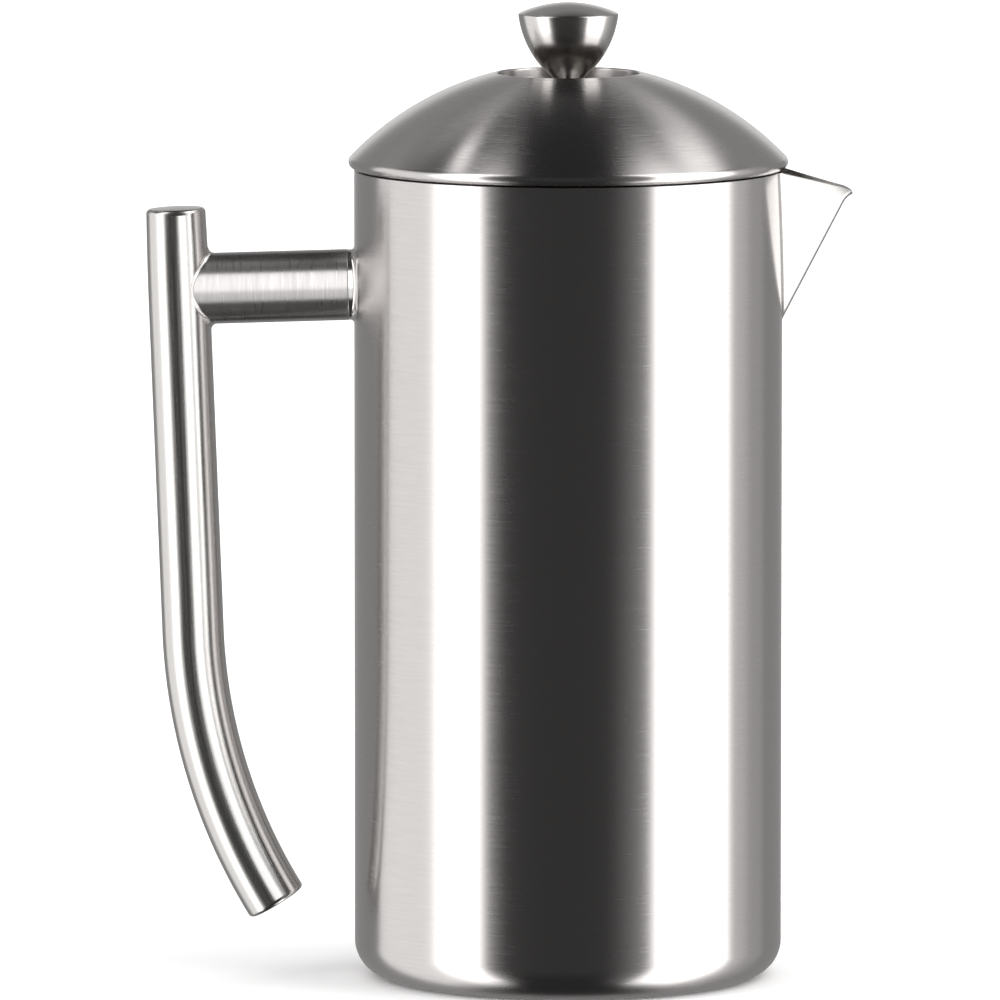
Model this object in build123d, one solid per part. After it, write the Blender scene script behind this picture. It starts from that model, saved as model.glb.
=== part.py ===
from build123d import *
import os
from math import acos, atan2, cos, degrees, radians, sin, sqrt, tan

# Double-wall stainless steel French press, modelled in millimetres with the plunger pushed down.
# The origin is on the carafe's axis, on the plane that the foot stands on. +Z is up, the spout
# points along +X and the handle along -X.

# ---- driving dimensions ----
BODY_RADIUS = 54.0
BODY_HEIGHT = 204.5
SHELL_WALL = 0.9
LINER_WALL = 0.8
WALL_GAP = 3.2
BODY_CORNER = 9.0
FOOT_INNER_RADIUS = 41.0
BASE_RECESS = 1.5
LINER_FLOOR = 8.8
LINER_CORNER = 8.0
MOUTH_ROUND = 1.2

SPOUT_REACH_DOWN = 37.9
SPOUT_LEAN = 27.5
SPOUT_HALF_ANGLE = 27.0
SPOUT_BEND = 2.2
SPOUT_RIDGE = 33.4
SPOUT_FLARE_RADIUS = 4.8
SPOUT_FLARE = 39.0
SPOUT_EDGE_SLOPE = 15.0
SPOUT_NOSE_X = 69.0

GRIP_RADIUS = 7.8
TUBE_WALL = 1.2
GRIP_TOP = (-98.9, 193.4)
GRIP_LEAN = 2.2
GRIP_STRAIGHT = 106.0
GRIP_BEND_RADIUS = 142.0
GRIP_BEND = 29.0
CAP_CROWN = 0.5
CAP_THICKNESS = 1.2
ARM_HALF_HEIGHT = 9.0
ARM_HALF_DEPTH = 7.0
ARM_SLOPE = 1.6
ARM_HEIGHT_AT_WALL = 175.45
COLLAR_LENGTH = 1.2
COLLAR_STEP = 0.25

LID_SHEET = 0.9
DOME_RADIUS = 76.0
LID_RADIUS = 55.4
LID_ROLL = 1.7
LID_SEAM = 0.45
LID_SEAT_GAP = 0.3
WELL_RADIUS = 17.9
WELL_LIP_ROUND = 0.5
WELL_LIP_DEPTH = 2.4
WELL_DEPTH = 11.0
WELL_TAPER = 2.4
WELL_CORNER = 4.0
SKIRT_CLEARANCE = 0.5
SKIRT_DEPTH = 14.0
SKIRT_WALL = 0.8
UNDERPLATE_DEPTH = 1.5

ROD_RADIUS = 3.0
STUD_RADIUS = 2.45
THREAD_CLEARANCE = 0.05
THREAD_PITCH = 0.8
THREAD_DEPTH = 0.3
GUIDE_CLEARANCE = 0.06
GUIDE_SLEEVE_RADIUS = 5.0
GUIDE_COLLAR_RADIUS = 7.5
KNOB_TOP = 246.7
KNOB_EDGE_RADIUS = 12.65
KNOB_CROWN = 2.8
KNOB_NECK_RADIUS = 3.7
KNOB_NECK_LENGTH = 6.0

FILTER_RADIUS = 48.6
FILTER_FLOOR_GAP = 11.7
HUB_RADIUS = 7.5
HUB_HEIGHT = 5.0
PLATE_SHEET = 0.8
CROSS_PLATE_RADIUS = 44.5
FINE_MESH = 0.4
COARSE_MESH = 0.6
SPRING_ENVELOPE = 2.3
STACK_GAP = 0.3

# ---- worked out from them ----
SHELL_INNER_RADIUS = BODY_RADIUS - SHELL_WALL
LINER_OUTER_RADIUS = SHELL_INNER_RADIUS - WALL_GAP
LINER_INNER_RADIUS = LINER_OUTER_RADIUS - LINER_WALL

ROLL_CENTRE_X = LID_RADIUS - LID_ROLL
ROLL_CENTRE_Z = BODY_HEIGHT + LID_SEAM + LID_ROLL
DOME_CENTRE_Z = ROLL_CENTRE_Z - sqrt((DOME_RADIUS - LID_ROLL) ** 2 - ROLL_CENTRE_X**2)
ROLL_ANGLE = degrees(atan2(ROLL_CENTRE_Z - DOME_CENTRE_Z, ROLL_CENTRE_X))
WELL_LIP_TOP = DOME_CENTRE_Z + sqrt(DOME_RADIUS**2 - WELL_RADIUS**2)
WELL_FLOOR = WELL_LIP_TOP - WELL_DEPTH
GUIDE_TOP = WELL_FLOOR + 3.0
SKIRT_RADIUS = LINER_INNER_RADIUS - SKIRT_CLEARANCE
SEAT_Z = BODY_HEIGHT + LID_SEAT_GAP
HEM_RADIUS = ROLL_CENTRE_X - 1.8
UNDERPLATE_TOP = BODY_HEIGHT - UNDERPLATE_DEPTH

KNOB_BOTTOM = GUIDE_TOP + LID_SEAT_GAP
KNOB_EDGE_Z = KNOB_TOP - KNOB_CROWN

HUB_BOTTOM = LINER_FLOOR + FILTER_FLOOR_GAP
CROSS_PLATE_Z = HUB_BOTTOM + HUB_HEIGHT
FINE_MESH_Z = CROSS_PLATE_Z + PLATE_SHEET + STACK_GAP
COARSE_MESH_Z = FINE_MESH_Z + FINE_MESH
SPRING_PLATE_Z = COARSE_MESH_Z + COARSE_MESH
SPRING_CENTRE_Z = FINE_MESH_Z + FINE_MESH + SPRING_ENVELOPE + 0.2
SPRING_CENTRE_RADIUS = FILTER_RADIUS - 2 * FINE_MESH - SPRING_ENVELOPE - 0.1
ROD_SHOULDER_Z = SPRING_PLATE_Z + PLATE_SHEET + STACK_GAP

UP = (Align.CENTER, Align.CENTER, Align.MIN)


# ---- helpers ----
def disc(radius, low, high):
    """A solid cylinder on the press's axis."""
    return Pos(0, 0, low) * Cylinder(radius, high - low, align=UP)


def ring(inner, outer, low, high):
    """A plain tube on the press's axis."""
    return disc(outer, low, high) - disc(inner, low - 1, high + 1)


def turned(*lines):
    """A solid of revolution from a closed outline of (radius, height)."""
    return revolve(Plane.XZ * make_face(Curve() + list(lines)), Axis.Z)


def cup(radius, corner, low, high):
    """A solid cylinder with a rounded lower edge."""
    body = disc(radius, low, high)
    return fillet(body.edges().sort_by(Axis.Z)[0], corner)


def rim(part, radius, height):
    """The closed circular edges of a turned part at one radius and height."""
    return part.edges().filter_by(
        lambda e: e.is_closed and abs(e.radius - radius) < 0.01 and abs(e.center().Z - height) < 0.01
    )


def hole_circles(rows, low, high):
    """Round holes spaced evenly on circles: each row is (circle radius, count, hole radius)."""
    cutters = []
    for circle, count, radius in rows:
        for place in PolarLocations(circle, count):
            cutters.append(place * disc(radius, low, high))
    return cutters


def threaded_stud(low, high):
    """A stud with ring-shaped thread ridges from low to high."""
    core = disc(STUD_RADIUS - THREAD_DEPTH, low, high)
    ridges = int((high - low) / THREAD_PITCH)
    first = low + (high - low - ridges * THREAD_PITCH) / 2
    for turn in range(ridges):
        z = first + turn * THREAD_PITCH
        crest = z + THREAD_PITCH / 2
        core += turned(
            Polyline(
                (0, z),
                (STUD_RADIUS - THREAD_DEPTH, z),
                (STUD_RADIUS, crest),
                (STUD_RADIUS - THREAD_DEPTH, z + THREAD_PITCH),
                (0, z + THREAD_PITCH),
                (0, z),
            )
        )
    return core


# ---- spout ----
def spout_wedge(inset):
    """The V-shaped prism of the spout, shrunk inwards by inset, with its ridge flared at the tip."""
    lean = radians(SPOUT_LEAN)
    half = radians(SPOUT_HALF_ANGLE)
    apex = SPOUT_BEND / sin(half) - SPOUT_BEND - inset / sin(half)
    back, below = -30.0, 14.0
    spread = (apex - back) * tan(half)
    section = make_face(Polyline((apex, 0), (back, spread), (back, -spread), (apex, 0)))
    section = fillet(section.vertices().sort_by(Axis.X)[-1], SPOUT_BEND - inset)
    foot = Plane(
        origin=(BODY_RADIUS, 0, BODY_HEIGHT - SPOUT_REACH_DOWN),
        x_dir=(cos(lean), 0, -sin(lean)),
        z_dir=(sin(lean), 0, cos(lean)),
    )
    wedge = extrude(foot.offset(-below) * section, below + SPOUT_RIDGE)
    top = foot.offset(SPOUT_RIDGE)
    hinge = Axis(top.origin + top.x_dir * SPOUT_FLARE_RADIUS, (0, 1, 0))
    return wedge + revolve(top * section, hinge, SPOUT_FLARE)


def spout_trim():
    """Everything above the spout's pouring edge, which slopes down and then dips at the tip."""
    slope = radians(SPOUT_EDGE_SLOPE)
    run = SPOUT_NOSE_X - SHELL_INNER_RADIUS
    start = (SHELL_INNER_RADIUS, BODY_HEIGHT)
    nose = (SPOUT_NOSE_X, BODY_HEIGHT - run * tan(slope))
    end = (nose[0] + 3.6, nose[1] - 2.3)
    beyond, high = nose[0] + 40.0, BODY_HEIGHT + 60.0
    edge = Line(start, nose)
    dip = TangentArc(nose, end, tangent=edge % 1)
    rest = Polyline(end, (beyond, end[1]), (beyond, high), (0, high), (0, BODY_HEIGHT), start)
    return extrude(Plane.XZ * make_face(Curve() + [edge, dip, rest]), 60.0, both=True)


def make_spout():
    sheet = spout_wedge(0) - spout_wedge(SHELL_WALL)
    sheet -= disc(LINER_INNER_RADIUS, 0, BODY_HEIGHT + 50)
    return sheet - spout_trim()


# ---- carafe ----
def make_outer_shell():
    shell = cup(BODY_RADIUS, BODY_CORNER, 0, BODY_HEIGHT)
    shell -= cup(SHELL_INNER_RADIUS, BODY_CORNER - SHELL_WALL, SHELL_WALL, BODY_HEIGHT + 1)
    shell -= disc(FOOT_INNER_RADIUS - SHELL_WALL, -1, SHELL_WALL + 1)
    shell += ring(FOOT_INNER_RADIUS - SHELL_WALL, FOOT_INNER_RADIUS, 0, BASE_RECESS + SHELL_WALL)
    return shell - spout_wedge(0)


def make_base_plate():
    """A pressed disc set into the foot, with a raised middle that stiffens it."""
    radius = FOOT_INNER_RADIUS - SHELL_WALL
    step_out, step_in, rise = 31.0, 29.5, 0.7
    low, high = BASE_RECESS, BASE_RECESS + SHELL_WALL
    outline = Polyline(
        (0, low + rise),
        (step_in, low + rise),
        (step_out, low),
        (radius, low),
        (radius, high),
        (step_out, high),
        (step_in, high + rise),
        (0, high + rise),
        (0, low + rise),
    )
    return turned(outline)


def make_inner_liner():
    liner = cup(LINER_OUTER_RADIUS, LINER_CORNER + LINER_WALL, LINER_FLOOR - LINER_WALL, BODY_HEIGHT)
    liner += disc(SHELL_INNER_RADIUS, BODY_HEIGHT - LINER_WALL, BODY_HEIGHT)
    liner -= cup(LINER_INNER_RADIUS, LINER_CORNER, LINER_FLOOR, BODY_HEIGHT + 1)
    return fillet(rim(liner, LINER_INNER_RADIUS, BODY_HEIGHT), MOUTH_ROUND) - spout_wedge(0)


# ---- handle ----
def grip_path():
    """The centre line of the grip: straight, then bent in towards the carafe."""
    lean = radians(GRIP_LEAN)
    end = radians(GRIP_LEAN + GRIP_BEND)
    top = Vector(GRIP_TOP[0], 0, GRIP_TOP[1])
    knee = top + Vector(sin(lean), 0, -cos(lean)) * GRIP_STRAIGHT
    run = Line(top, knee)
    foot = knee + GRIP_BEND_RADIUS * Vector(cos(lean) - cos(end), 0, sin(lean) - sin(end))
    return run, TangentArc(knee, foot, tangent=run % 1)


def grip_bar(radius):
    """A round bar along the whole grip."""
    run, bend = grip_path()
    straight = extrude(Plane(run @ 0, z_dir=run % 0) * Circle(radius), GRIP_STRAIGHT)
    curved = sweep(Plane(bend @ 0, z_dir=bend % 0) * Circle(radius), path=bend)
    return straight + curved


def make_handle_grip():
    return grip_bar(GRIP_RADIUS) - grip_bar(GRIP_RADIUS - TUBE_WALL)


def grip_cap(point, outwards, round_edge):
    """A crowned plug on an end of the grip: the head covers the tube's end, the spigot is inside."""
    spigot = GRIP_RADIUS - TUBE_WALL - THREAD_CLEARANCE
    crown = (GRIP_RADIUS**2 + CAP_CROWN**2) / (2 * CAP_CROWN)
    head = turned(
        Polyline((0, -3.0), (spigot, -3.0), (spigot, 0), (GRIP_RADIUS, 0), (GRIP_RADIUS, CAP_THICKNESS)),
        RadiusArc((GRIP_RADIUS, CAP_THICKNESS), (0, CAP_THICKNESS + CAP_CROWN), -crown),
        Line((0, CAP_THICKNESS + CAP_CROWN), (0, -3.0)),
    )
    head = fillet(rim(head, GRIP_RADIUS, CAP_THICKNESS), round_edge)
    return Plane(point, z_dir=outwards) * head


def make_grip_top_cap():
    run, _ = grip_path()
    return grip_cap(run @ 0, -(run % 0), 0.5)


def make_grip_end_cap():
    _, bend = grip_path()
    return grip_cap(bend @ 1, bend % 1, 1.0)


def arm_bar(half_height, half_depth, near, far):
    """An oval bar along the arm's line, from near to far measured out from the press's axis."""
    slope = radians(ARM_SLOPE)
    at_wall = Vector(-BODY_RADIUS, 0, ARM_HEIGHT_AT_WALL)
    out = Vector(-cos(slope), 0, -sin(slope))
    start = Plane(at_wall + out * (near - BODY_RADIUS), x_dir=(0, 1, 0), z_dir=out)
    return extrude(start * Ellipse(half_depth, half_height), far - near)


def make_handle_arm():
    reach = -GRIP_TOP[0]
    near = BODY_RADIUS + COLLAR_LENGTH
    arm = arm_bar(ARM_HALF_HEIGHT, ARM_HALF_DEPTH, near, reach)
    arm -= arm_bar(ARM_HALF_HEIGHT - TUBE_WALL, ARM_HALF_DEPTH - TUBE_WALL, near - 1, reach + 1)
    arm -= grip_bar(GRIP_RADIUS)
    return arm.solids().sort_by(Axis.X)[-1]


def make_arm_collar():
    """The narrow weld collar between the arm and the carafe's outer wall."""
    height, depth = ARM_HALF_HEIGHT - COLLAR_STEP, ARM_HALF_DEPTH - COLLAR_STEP
    collar = arm_bar(height, depth, BODY_RADIUS - 6, BODY_RADIUS + COLLAR_LENGTH)
    collar -= arm_bar(height - 2 * TUBE_WALL, depth - 2 * TUBE_WALL, BODY_RADIUS - 7, BODY_RADIUS + 3)
    return collar - disc(BODY_RADIUS, 0, BODY_HEIGHT)


# ---- lid ----
def dome_arc(radius, start_radius, roll):
    """One face of the lid's sheet: the dome's arc, then the rolled edge, as (dome, roll)."""
    centre = (0, DOME_CENTRE_Z)
    top = degrees(acos(start_radius / radius))
    dome = CenterArc(centre, radius, top, ROLL_ANGLE - top)
    edge = CenterArc((ROLL_CENTRE_X, ROLL_CENTRE_Z), roll, ROLL_ANGLE, -90 - ROLL_ANGLE)
    return dome, edge


def make_lid_dome():
    inner_lip = WELL_RADIUS + LID_SHEET
    lip_bottom = WELL_LIP_TOP - WELL_LIP_DEPTH
    dome, edge = dome_arc(DOME_RADIUS, WELL_RADIUS, LID_ROLL)
    dome_in, edge_in = dome_arc(DOME_RADIUS - LID_SHEET, inner_lip, LID_ROLL - LID_SHEET)
    hem_low = (HEM_RADIUS, ROLL_CENTRE_Z - LID_ROLL)
    hem_high = (HEM_RADIUS, ROLL_CENTRE_Z - LID_ROLL + LID_SHEET)
    lid = turned(
        dome,
        edge,
        Polyline(edge @ 1, hem_low, hem_high, edge_in @ 1),
        edge_in,
        dome_in,
        Polyline(dome_in @ 0, (inner_lip, lip_bottom), (WELL_RADIUS, lip_bottom), dome @ 0),
    )
    return fillet(rim(lid, WELL_RADIUS, WELL_LIP_TOP), WELL_LIP_ROUND)


def make_lid_well():
    """The cup in the middle of the dome that the knob sinks into."""
    top = WELL_LIP_TOP - WELL_LIP_DEPTH
    floor_radius = WELL_RADIUS - WELL_TAPER
    outside = [(WELL_RADIUS + LID_SHEET, top), (floor_radius + LID_SHEET, WELL_FLOOR - LID_SHEET)]
    cone = Polyline((0, top), *outside, (0, WELL_FLOOR - LID_SHEET), (0, top))
    hollow = Polyline((0, top), (WELL_RADIUS, top), (floor_radius, WELL_FLOOR), (0, WELL_FLOOR), (0, top))
    well = fillet(turned(cone).edges().sort_by(Axis.Z)[0], WELL_CORNER + LID_SHEET)
    well -= fillet(turned(hollow).edges().sort_by(Axis.Z)[0], WELL_CORNER)
    return well - disc(GUIDE_SLEEVE_RADIUS, WELL_FLOOR - 5, WELL_FLOOR + 5)


def make_lid_skirt():
    """An L-shaped ring: the flange rests on the carafe's rim, the skirt centres the lid in its mouth."""
    skirt = ring(SKIRT_RADIUS - SKIRT_WALL, SKIRT_RADIUS, BODY_HEIGHT - SKIRT_DEPTH, SEAT_Z)
    flange = ring(SKIRT_RADIUS - SKIRT_WALL, HEM_RADIUS, SEAT_Z, SEAT_Z + SKIRT_WALL)
    return skirt + flange


def make_lid_underplate():
    plate = ring(
        GUIDE_SLEEVE_RADIUS,
        SKIRT_RADIUS - SKIRT_WALL,
        UNDERPLATE_TOP - SKIRT_WALL,
        UNDERPLATE_TOP,
    )
    return plate


def make_rod_guide():
    """A flanged sleeve through the well's floor and the underplate, which the rod slides in."""
    bore = ROD_RADIUS + GUIDE_CLEARANCE
    low = UNDERPLATE_TOP - SKIRT_WALL - 3.6
    guide = ring(bore, GUIDE_SLEEVE_RADIUS, low, GUIDE_TOP)
    guide += ring(bore, GUIDE_COLLAR_RADIUS, WELL_FLOOR, WELL_FLOOR + 1.6)
    return guide


def make_guide_nut():
    """A thin hexagon nut that clamps the guide from below."""
    height = 2.8
    top = UNDERPLATE_TOP - SKIRT_WALL
    nut = extrude(Plane.XY.offset(top - height) * RegularPolygon(8.5, 6), height)
    return nut - disc(GUIDE_SLEEVE_RADIUS, top - 10, top + 1)


# ---- plunger ----
def make_plunger_knob():
    neck_top = KNOB_BOTTOM + KNOB_NECK_LENGTH
    flank_mid = (9.75, KNOB_EDGE_Z - 9.7)
    crown = (KNOB_EDGE_RADIUS**2 + KNOB_CROWN**2) / (2 * KNOB_CROWN)
    knob = turned(
        Polyline(
            (0, KNOB_TOP),
            (0, KNOB_BOTTOM),
            (KNOB_NECK_RADIUS, KNOB_BOTTOM),
            (KNOB_NECK_RADIUS, neck_top),
        ),
        ThreePointArc((KNOB_NECK_RADIUS, neck_top), flank_mid, (KNOB_EDGE_RADIUS, KNOB_EDGE_Z)),
        RadiusArc((KNOB_EDGE_RADIUS, KNOB_EDGE_Z), (0, KNOB_TOP), -crown),
    )
    knob = fillet(rim(knob, KNOB_EDGE_RADIUS, KNOB_EDGE_Z), 0.35)
    knob -= disc(ROD_RADIUS + THREAD_CLEARANCE, KNOB_BOTTOM - 1, KNOB_BOTTOM + 2.0)
    return knob - disc(STUD_RADIUS + THREAD_CLEARANCE, KNOB_BOTTOM, KNOB_BOTTOM + 13.0)


def make_plunger_rod():
    """The rod, with a threaded stud at each end for the knob and for the filter's hub."""
    top = KNOB_BOTTOM + 1.9
    rod = disc(ROD_RADIUS, ROD_SHOULDER_Z, top)
    rod += threaded_stud(top, KNOB_BOTTOM + 12.0)
    return rod + threaded_stud(HUB_BOTTOM + 0.5, ROD_SHOULDER_Z)


def make_rod_collar():
    """A collar pressed on the rod, which the spring plate bears against."""
    collar = ring(ROD_RADIUS, 6.5, ROD_SHOULDER_Z, ROD_SHOULDER_Z + 2.2)
    return chamfer(rim(collar, 6.5, ROD_SHOULDER_Z + 2.2), 0.6)


# ---- filter ----
def make_spring_plate():
    """The upper plate: perforated, with a turned-up rim and a lip that hooks over the spring."""
    inner = SPRING_CENTRE_RADIUS - SPRING_ENVELOPE - 0.1
    low = SPRING_PLATE_Z
    lip = SPRING_CENTRE_Z + SPRING_ENVELOPE + 0.1
    plate = ring(STUD_RADIUS + 0.25, inner, low, low + PLATE_SHEET)
    plate += ring(inner - PLATE_SHEET, inner, low, lip)
    plate += ring(inner - PLATE_SHEET, SPRING_CENTRE_RADIUS + 0.8, lip, lip + PLATE_SHEET)
    holes = hole_circles([(13.0, 8, 2.6), (22.5, 14, 2.9), (33.0, 20, 3.2)], low - 1, low + 2)
    return plate - holes


def make_edge_spring():
    """The garter spring round the upper plate, as the closed ring that its coils fill."""
    return Pos(0, 0, SPRING_CENTRE_Z) * Torus(SPRING_CENTRE_RADIUS, SPRING_ENVELOPE)


def make_coarse_screen():
    return ring(
        STUD_RADIUS + 0.25,
        SPRING_CENTRE_RADIUS - SPRING_ENVELOPE - 0.2,
        COARSE_MESH_Z,
        COARSE_MESH_Z + COARSE_MESH,
    )


def make_fine_screen():
    """The fine mesh: flat in the middle, with its edge turned up against the carafe's wall."""
    hem_top = SPRING_CENTRE_Z + SPRING_ENVELOPE - 0.4
    turn = 2.2
    outside = cup(FILTER_RADIUS, turn, FINE_MESH_Z, hem_top)
    inside = cup(FILTER_RADIUS - FINE_MESH, turn - FINE_MESH, FINE_MESH_Z + FINE_MESH, hem_top + 1)
    return outside - inside - disc(STUD_RADIUS + 0.25, FINE_MESH_Z - 1, FINE_MESH_Z + 1)


def make_cross_plate():
    """The lower plate: wide round holes, and a hub hole in the middle."""
    low = CROSS_PLATE_Z
    plate = ring(4.2, CROSS_PLATE_RADIUS, low, low + PLATE_SHEET)
    holes = hole_circles([(14.0, 6, 4.6), (25.0, 12, 4.6), (36.5, 18, 4.6)], low - 1, low + 2)
    return plate - holes


def make_hub_nut():
    """The threaded hub riveted into the lower plate; it screws on the end of the rod."""
    bore = STUD_RADIUS + THREAD_CLEARANCE
    hub = ring(bore, HUB_RADIUS, HUB_BOTTOM, CROSS_PLATE_Z)
    hub = chamfer(rim(hub, HUB_RADIUS, HUB_BOTTOM), 0.8)
    hub += ring(bore, 4.2, CROSS_PLATE_Z, CROSS_PLATE_Z + PLATE_SHEET)
    flutes = hole_circles([(HUB_RADIUS + 1.2, 12, 1.9)], HUB_BOTTOM - 1, CROSS_PLATE_Z)
    return hub - flutes


NODES = {
    "outer_shell": make_outer_shell,
    "inner_liner": make_inner_liner,
    "base_plate": make_base_plate,
    "spout": make_spout,
    "handle_arm": make_handle_arm,
    "arm_collar": make_arm_collar,
    "handle_grip": make_handle_grip,
    "grip_top_cap": make_grip_top_cap,
    "grip_end_cap": make_grip_end_cap,
    "lid_dome": make_lid_dome,
    "lid_well": make_lid_well,
    "lid_skirt": make_lid_skirt,
    "lid_underplate": make_lid_underplate,
    "rod_guide": make_rod_guide,
    "guide_nut": make_guide_nut,
    "plunger_knob": make_plunger_knob,
    "plunger_rod": make_plunger_rod,
    "rod_collar": make_rod_collar,
    "spring_plate": make_spring_plate,
    "edge_spring": make_edge_spring,
    "coarse_screen": make_coarse_screen,
    "fine_screen": make_fine_screen,
    "cross_plate": make_cross_plate,
    "hub_nut": make_hub_nut,
}

os.makedirs("parts", exist_ok=True)
for name, make in NODES.items():
    export_step(make(), os.path.join("parts", name + ".step"))
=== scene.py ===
"""Looks of a double-wall stainless steel French press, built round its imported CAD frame.

The carafe stands on the floor with its axis on Z. The spout points along +X, the handle along -X.
"""

from math import atan2, cos, floor, pi, radians, sin, sqrt, tan, tau

import bmesh
import bpy
from mathutils import Matrix, Vector


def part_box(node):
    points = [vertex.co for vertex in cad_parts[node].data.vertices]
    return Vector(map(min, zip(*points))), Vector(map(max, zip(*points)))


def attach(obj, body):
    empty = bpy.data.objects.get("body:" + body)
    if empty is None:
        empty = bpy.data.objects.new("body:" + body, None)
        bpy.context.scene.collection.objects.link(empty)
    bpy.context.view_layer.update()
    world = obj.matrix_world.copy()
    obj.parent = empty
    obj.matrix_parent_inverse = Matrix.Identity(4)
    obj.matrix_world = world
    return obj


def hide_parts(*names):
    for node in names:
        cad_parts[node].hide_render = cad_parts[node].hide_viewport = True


bl_info = {
    "name": "French press",
    "version": (1, 0, 0),
    "blender": (4, 5, 0),
    "location": "3D View > Sidebar > French press",
    "description": "Builds a double-wall stainless steel French press, piece by piece",
    "category": "Add Mesh",
}

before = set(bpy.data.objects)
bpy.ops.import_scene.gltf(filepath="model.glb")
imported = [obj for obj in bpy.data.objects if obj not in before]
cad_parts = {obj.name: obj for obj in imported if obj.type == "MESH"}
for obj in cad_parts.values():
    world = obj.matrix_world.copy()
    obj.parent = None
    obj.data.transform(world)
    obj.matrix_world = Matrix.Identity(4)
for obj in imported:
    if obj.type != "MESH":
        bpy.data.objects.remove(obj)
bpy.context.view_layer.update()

MM = 0.001
ROUND = 384  # steps round the large turned pieces
SMALL_ROUND = 160  # steps round the small ones
MERGE = 0.001 * MM  # points closer than this become one
CLEARANCE = 0.05 * MM  # a fitted piece's play, and how far a weld stays below the rim
WELD_SINK = 0.25 * MM  # how far a weld's root lies under the faces it joins
SKIRT_WALL = 0.8  # thickness of the lid skirt's sheet, in millimetres


# ---- what the panel offers ----
def length(name, description, millimetres):
    """A length property, given in millimetres and kept in metres."""
    return bpy.props.FloatProperty(
        name=name, description=description, default=millimetres * MM, min=0.0, precision=5, unit="LENGTH"
    )


def angle(name, description, degrees):
    """An angle property, given in degrees and kept in radians."""
    return bpy.props.FloatProperty(
        name=name, description=description, default=radians(degrees), subtype="ANGLE", unit="ROTATION"
    )


def linear(hex_colour):
    """The linear red, green and blue of an sRGB hex colour."""
    channels = [int(hex_colour[i : i + 2], 16) / 255 for i in (0, 2, 4)]
    return tuple(c / 12.92 if c <= 0.04045 else ((c + 0.055) / 1.055) ** 2.4 for c in channels)


def colour(name, description, hex_colour):
    """A colour property, given as sRGB hex and kept linear."""
    return bpy.props.FloatVectorProperty(
        name=name,
        description=description,
        default=linear(hex_colour),
        min=0.0,
        max=1.0,
        size=3,
        subtype="COLOR",
    )


def high(node, axis):
    """The highest coordinate of a CAD node along an axis, in millimetres."""
    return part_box(node)[1][axis] / MM


class CarafeSizes(bpy.types.PropertyGroup):
    """The double-wall carafe"""

    radius: length("Radius", "Outer radius of the carafe", round(high("outer_shell", 1), 2))
    height: length("Height", "Height of the carafe's rim", round(high("outer_shell", 2), 2))
    wall: length("Shell wall", "Thickness of the outer shell's sheet", 0.9)
    liner_wall: length("Liner wall", "Thickness of the inner liner's sheet", 0.8)
    gap: length("Wall gap", "Space between shell and liner", 3.2)
    corner: length("Corner", "Outer radius of the bottom corner", 9.0)
    foot: length("Foot", "Inner radius of the foot ring", 41.0)
    recess: length("Base recess", "How far the base plate sits above the floor", 1.5)
    floor: length("Liner floor", "Height of the liner's floor", 8.8)
    liner_corner: length("Liner corner", "Inner radius of the liner's bottom corner", 8.0)
    mouth: length("Mouth rounding", "Rounding of the mouth's inner edge", 1.2)


class SpoutSizes(bpy.types.PropertyGroup):
    """The folded V spout"""

    drop: length("Depth", "How far the spout's foot is below the rim", 37.9)
    lean: angle("Lean", "How far the ridge leans out", 27.5)
    half: angle("Half angle", "Half the angle between the two sides", 27.0)
    bend: length("Bend", "Outer radius of the ridge's bend", 2.2)
    ridge: length("Ridge", "Length of the straight ridge", 33.4)
    flare_radius: length("Flare radius", "Radius that the tip curls out with", 4.8)
    flare: angle("Flare", "How far the tip curls out", 39.0)
    slope: angle("Edge slope", "Fall of the pouring edge", 15.0)
    nose: length("Nose", "Where the pouring edge starts to dip, from the axis", 69.0)
    dip_radius: length("Dip radius", "Radius of the dip at the tip", 7.08)
    dip: angle("Dip", "How much steeper the edge gets along the dip", 35.1)
    lip: length("Lip rounding", "Rounding of the sheet's cut edge", 0.3)
    weld: length("Weld", "Radius of the dressed weld between spout and shell", 2.0)


class HandleSizes(bpy.types.PropertyGroup):
    """The tube handle and its arm"""

    grip: length("Grip radius", "Outer radius of the grip's tube", 7.8)
    wall: length("Tube wall", "Thickness of the tubes' walls", 1.2)
    top_reach: length("Top reach", "Distance of the grip's top from the axis", 98.9)
    top_height: length("Top height", "Height of the grip tube's top", 193.4)
    lean: angle("Lean", "Lean of the grip's straight part", 2.2)
    straight: length("Straight", "Length of the grip's straight part", 106.0)
    bend_radius: length("Bend radius", "Radius of the grip's bend", 142.0)
    bend: angle("Bend", "Turn of the grip's bend", 29.0)
    neck: length("Top narrowing", "How much the radius shrinks at the top", 0.3)
    crown: length("Cap crown", "Rise of a cap's middle", 0.5)
    cap: length("Cap thickness", "Height of a cap's rim", 1.2)
    top_round: length("Top cap rounding", "Rounding of the top cap's edge", 1.1)
    end_round: length("End cap rounding", "Rounding of the lower cap's edge", 1.0)
    arm_height: length("Arm half height", "Half the height of the arm's oval", 9.0)
    arm_depth: length("Arm half depth", "Half the depth of the arm's oval", 7.0)
    arm_slope: angle("Arm slope", "Fall of the arm towards the grip", 1.6)
    arm_z: length("Arm height", "Height of the arm's middle at the shell", 175.45)
    arm_end: length("Arm end", "Gap between the shell and the arm's end", 1.2)
    arm_round: length("Arm rounding", "Rounding of the arm's end", 0.5)
    collar_step: length("Collar step", "How much smaller than the arm the weld ring is", 0.1)
    wall_weld: length("Wall weld", "Radius of the weld ring against the shell", 1.0)
    grip_weld: length("Grip weld", "Radius of the weld between arm and grip", 1.5)


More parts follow.
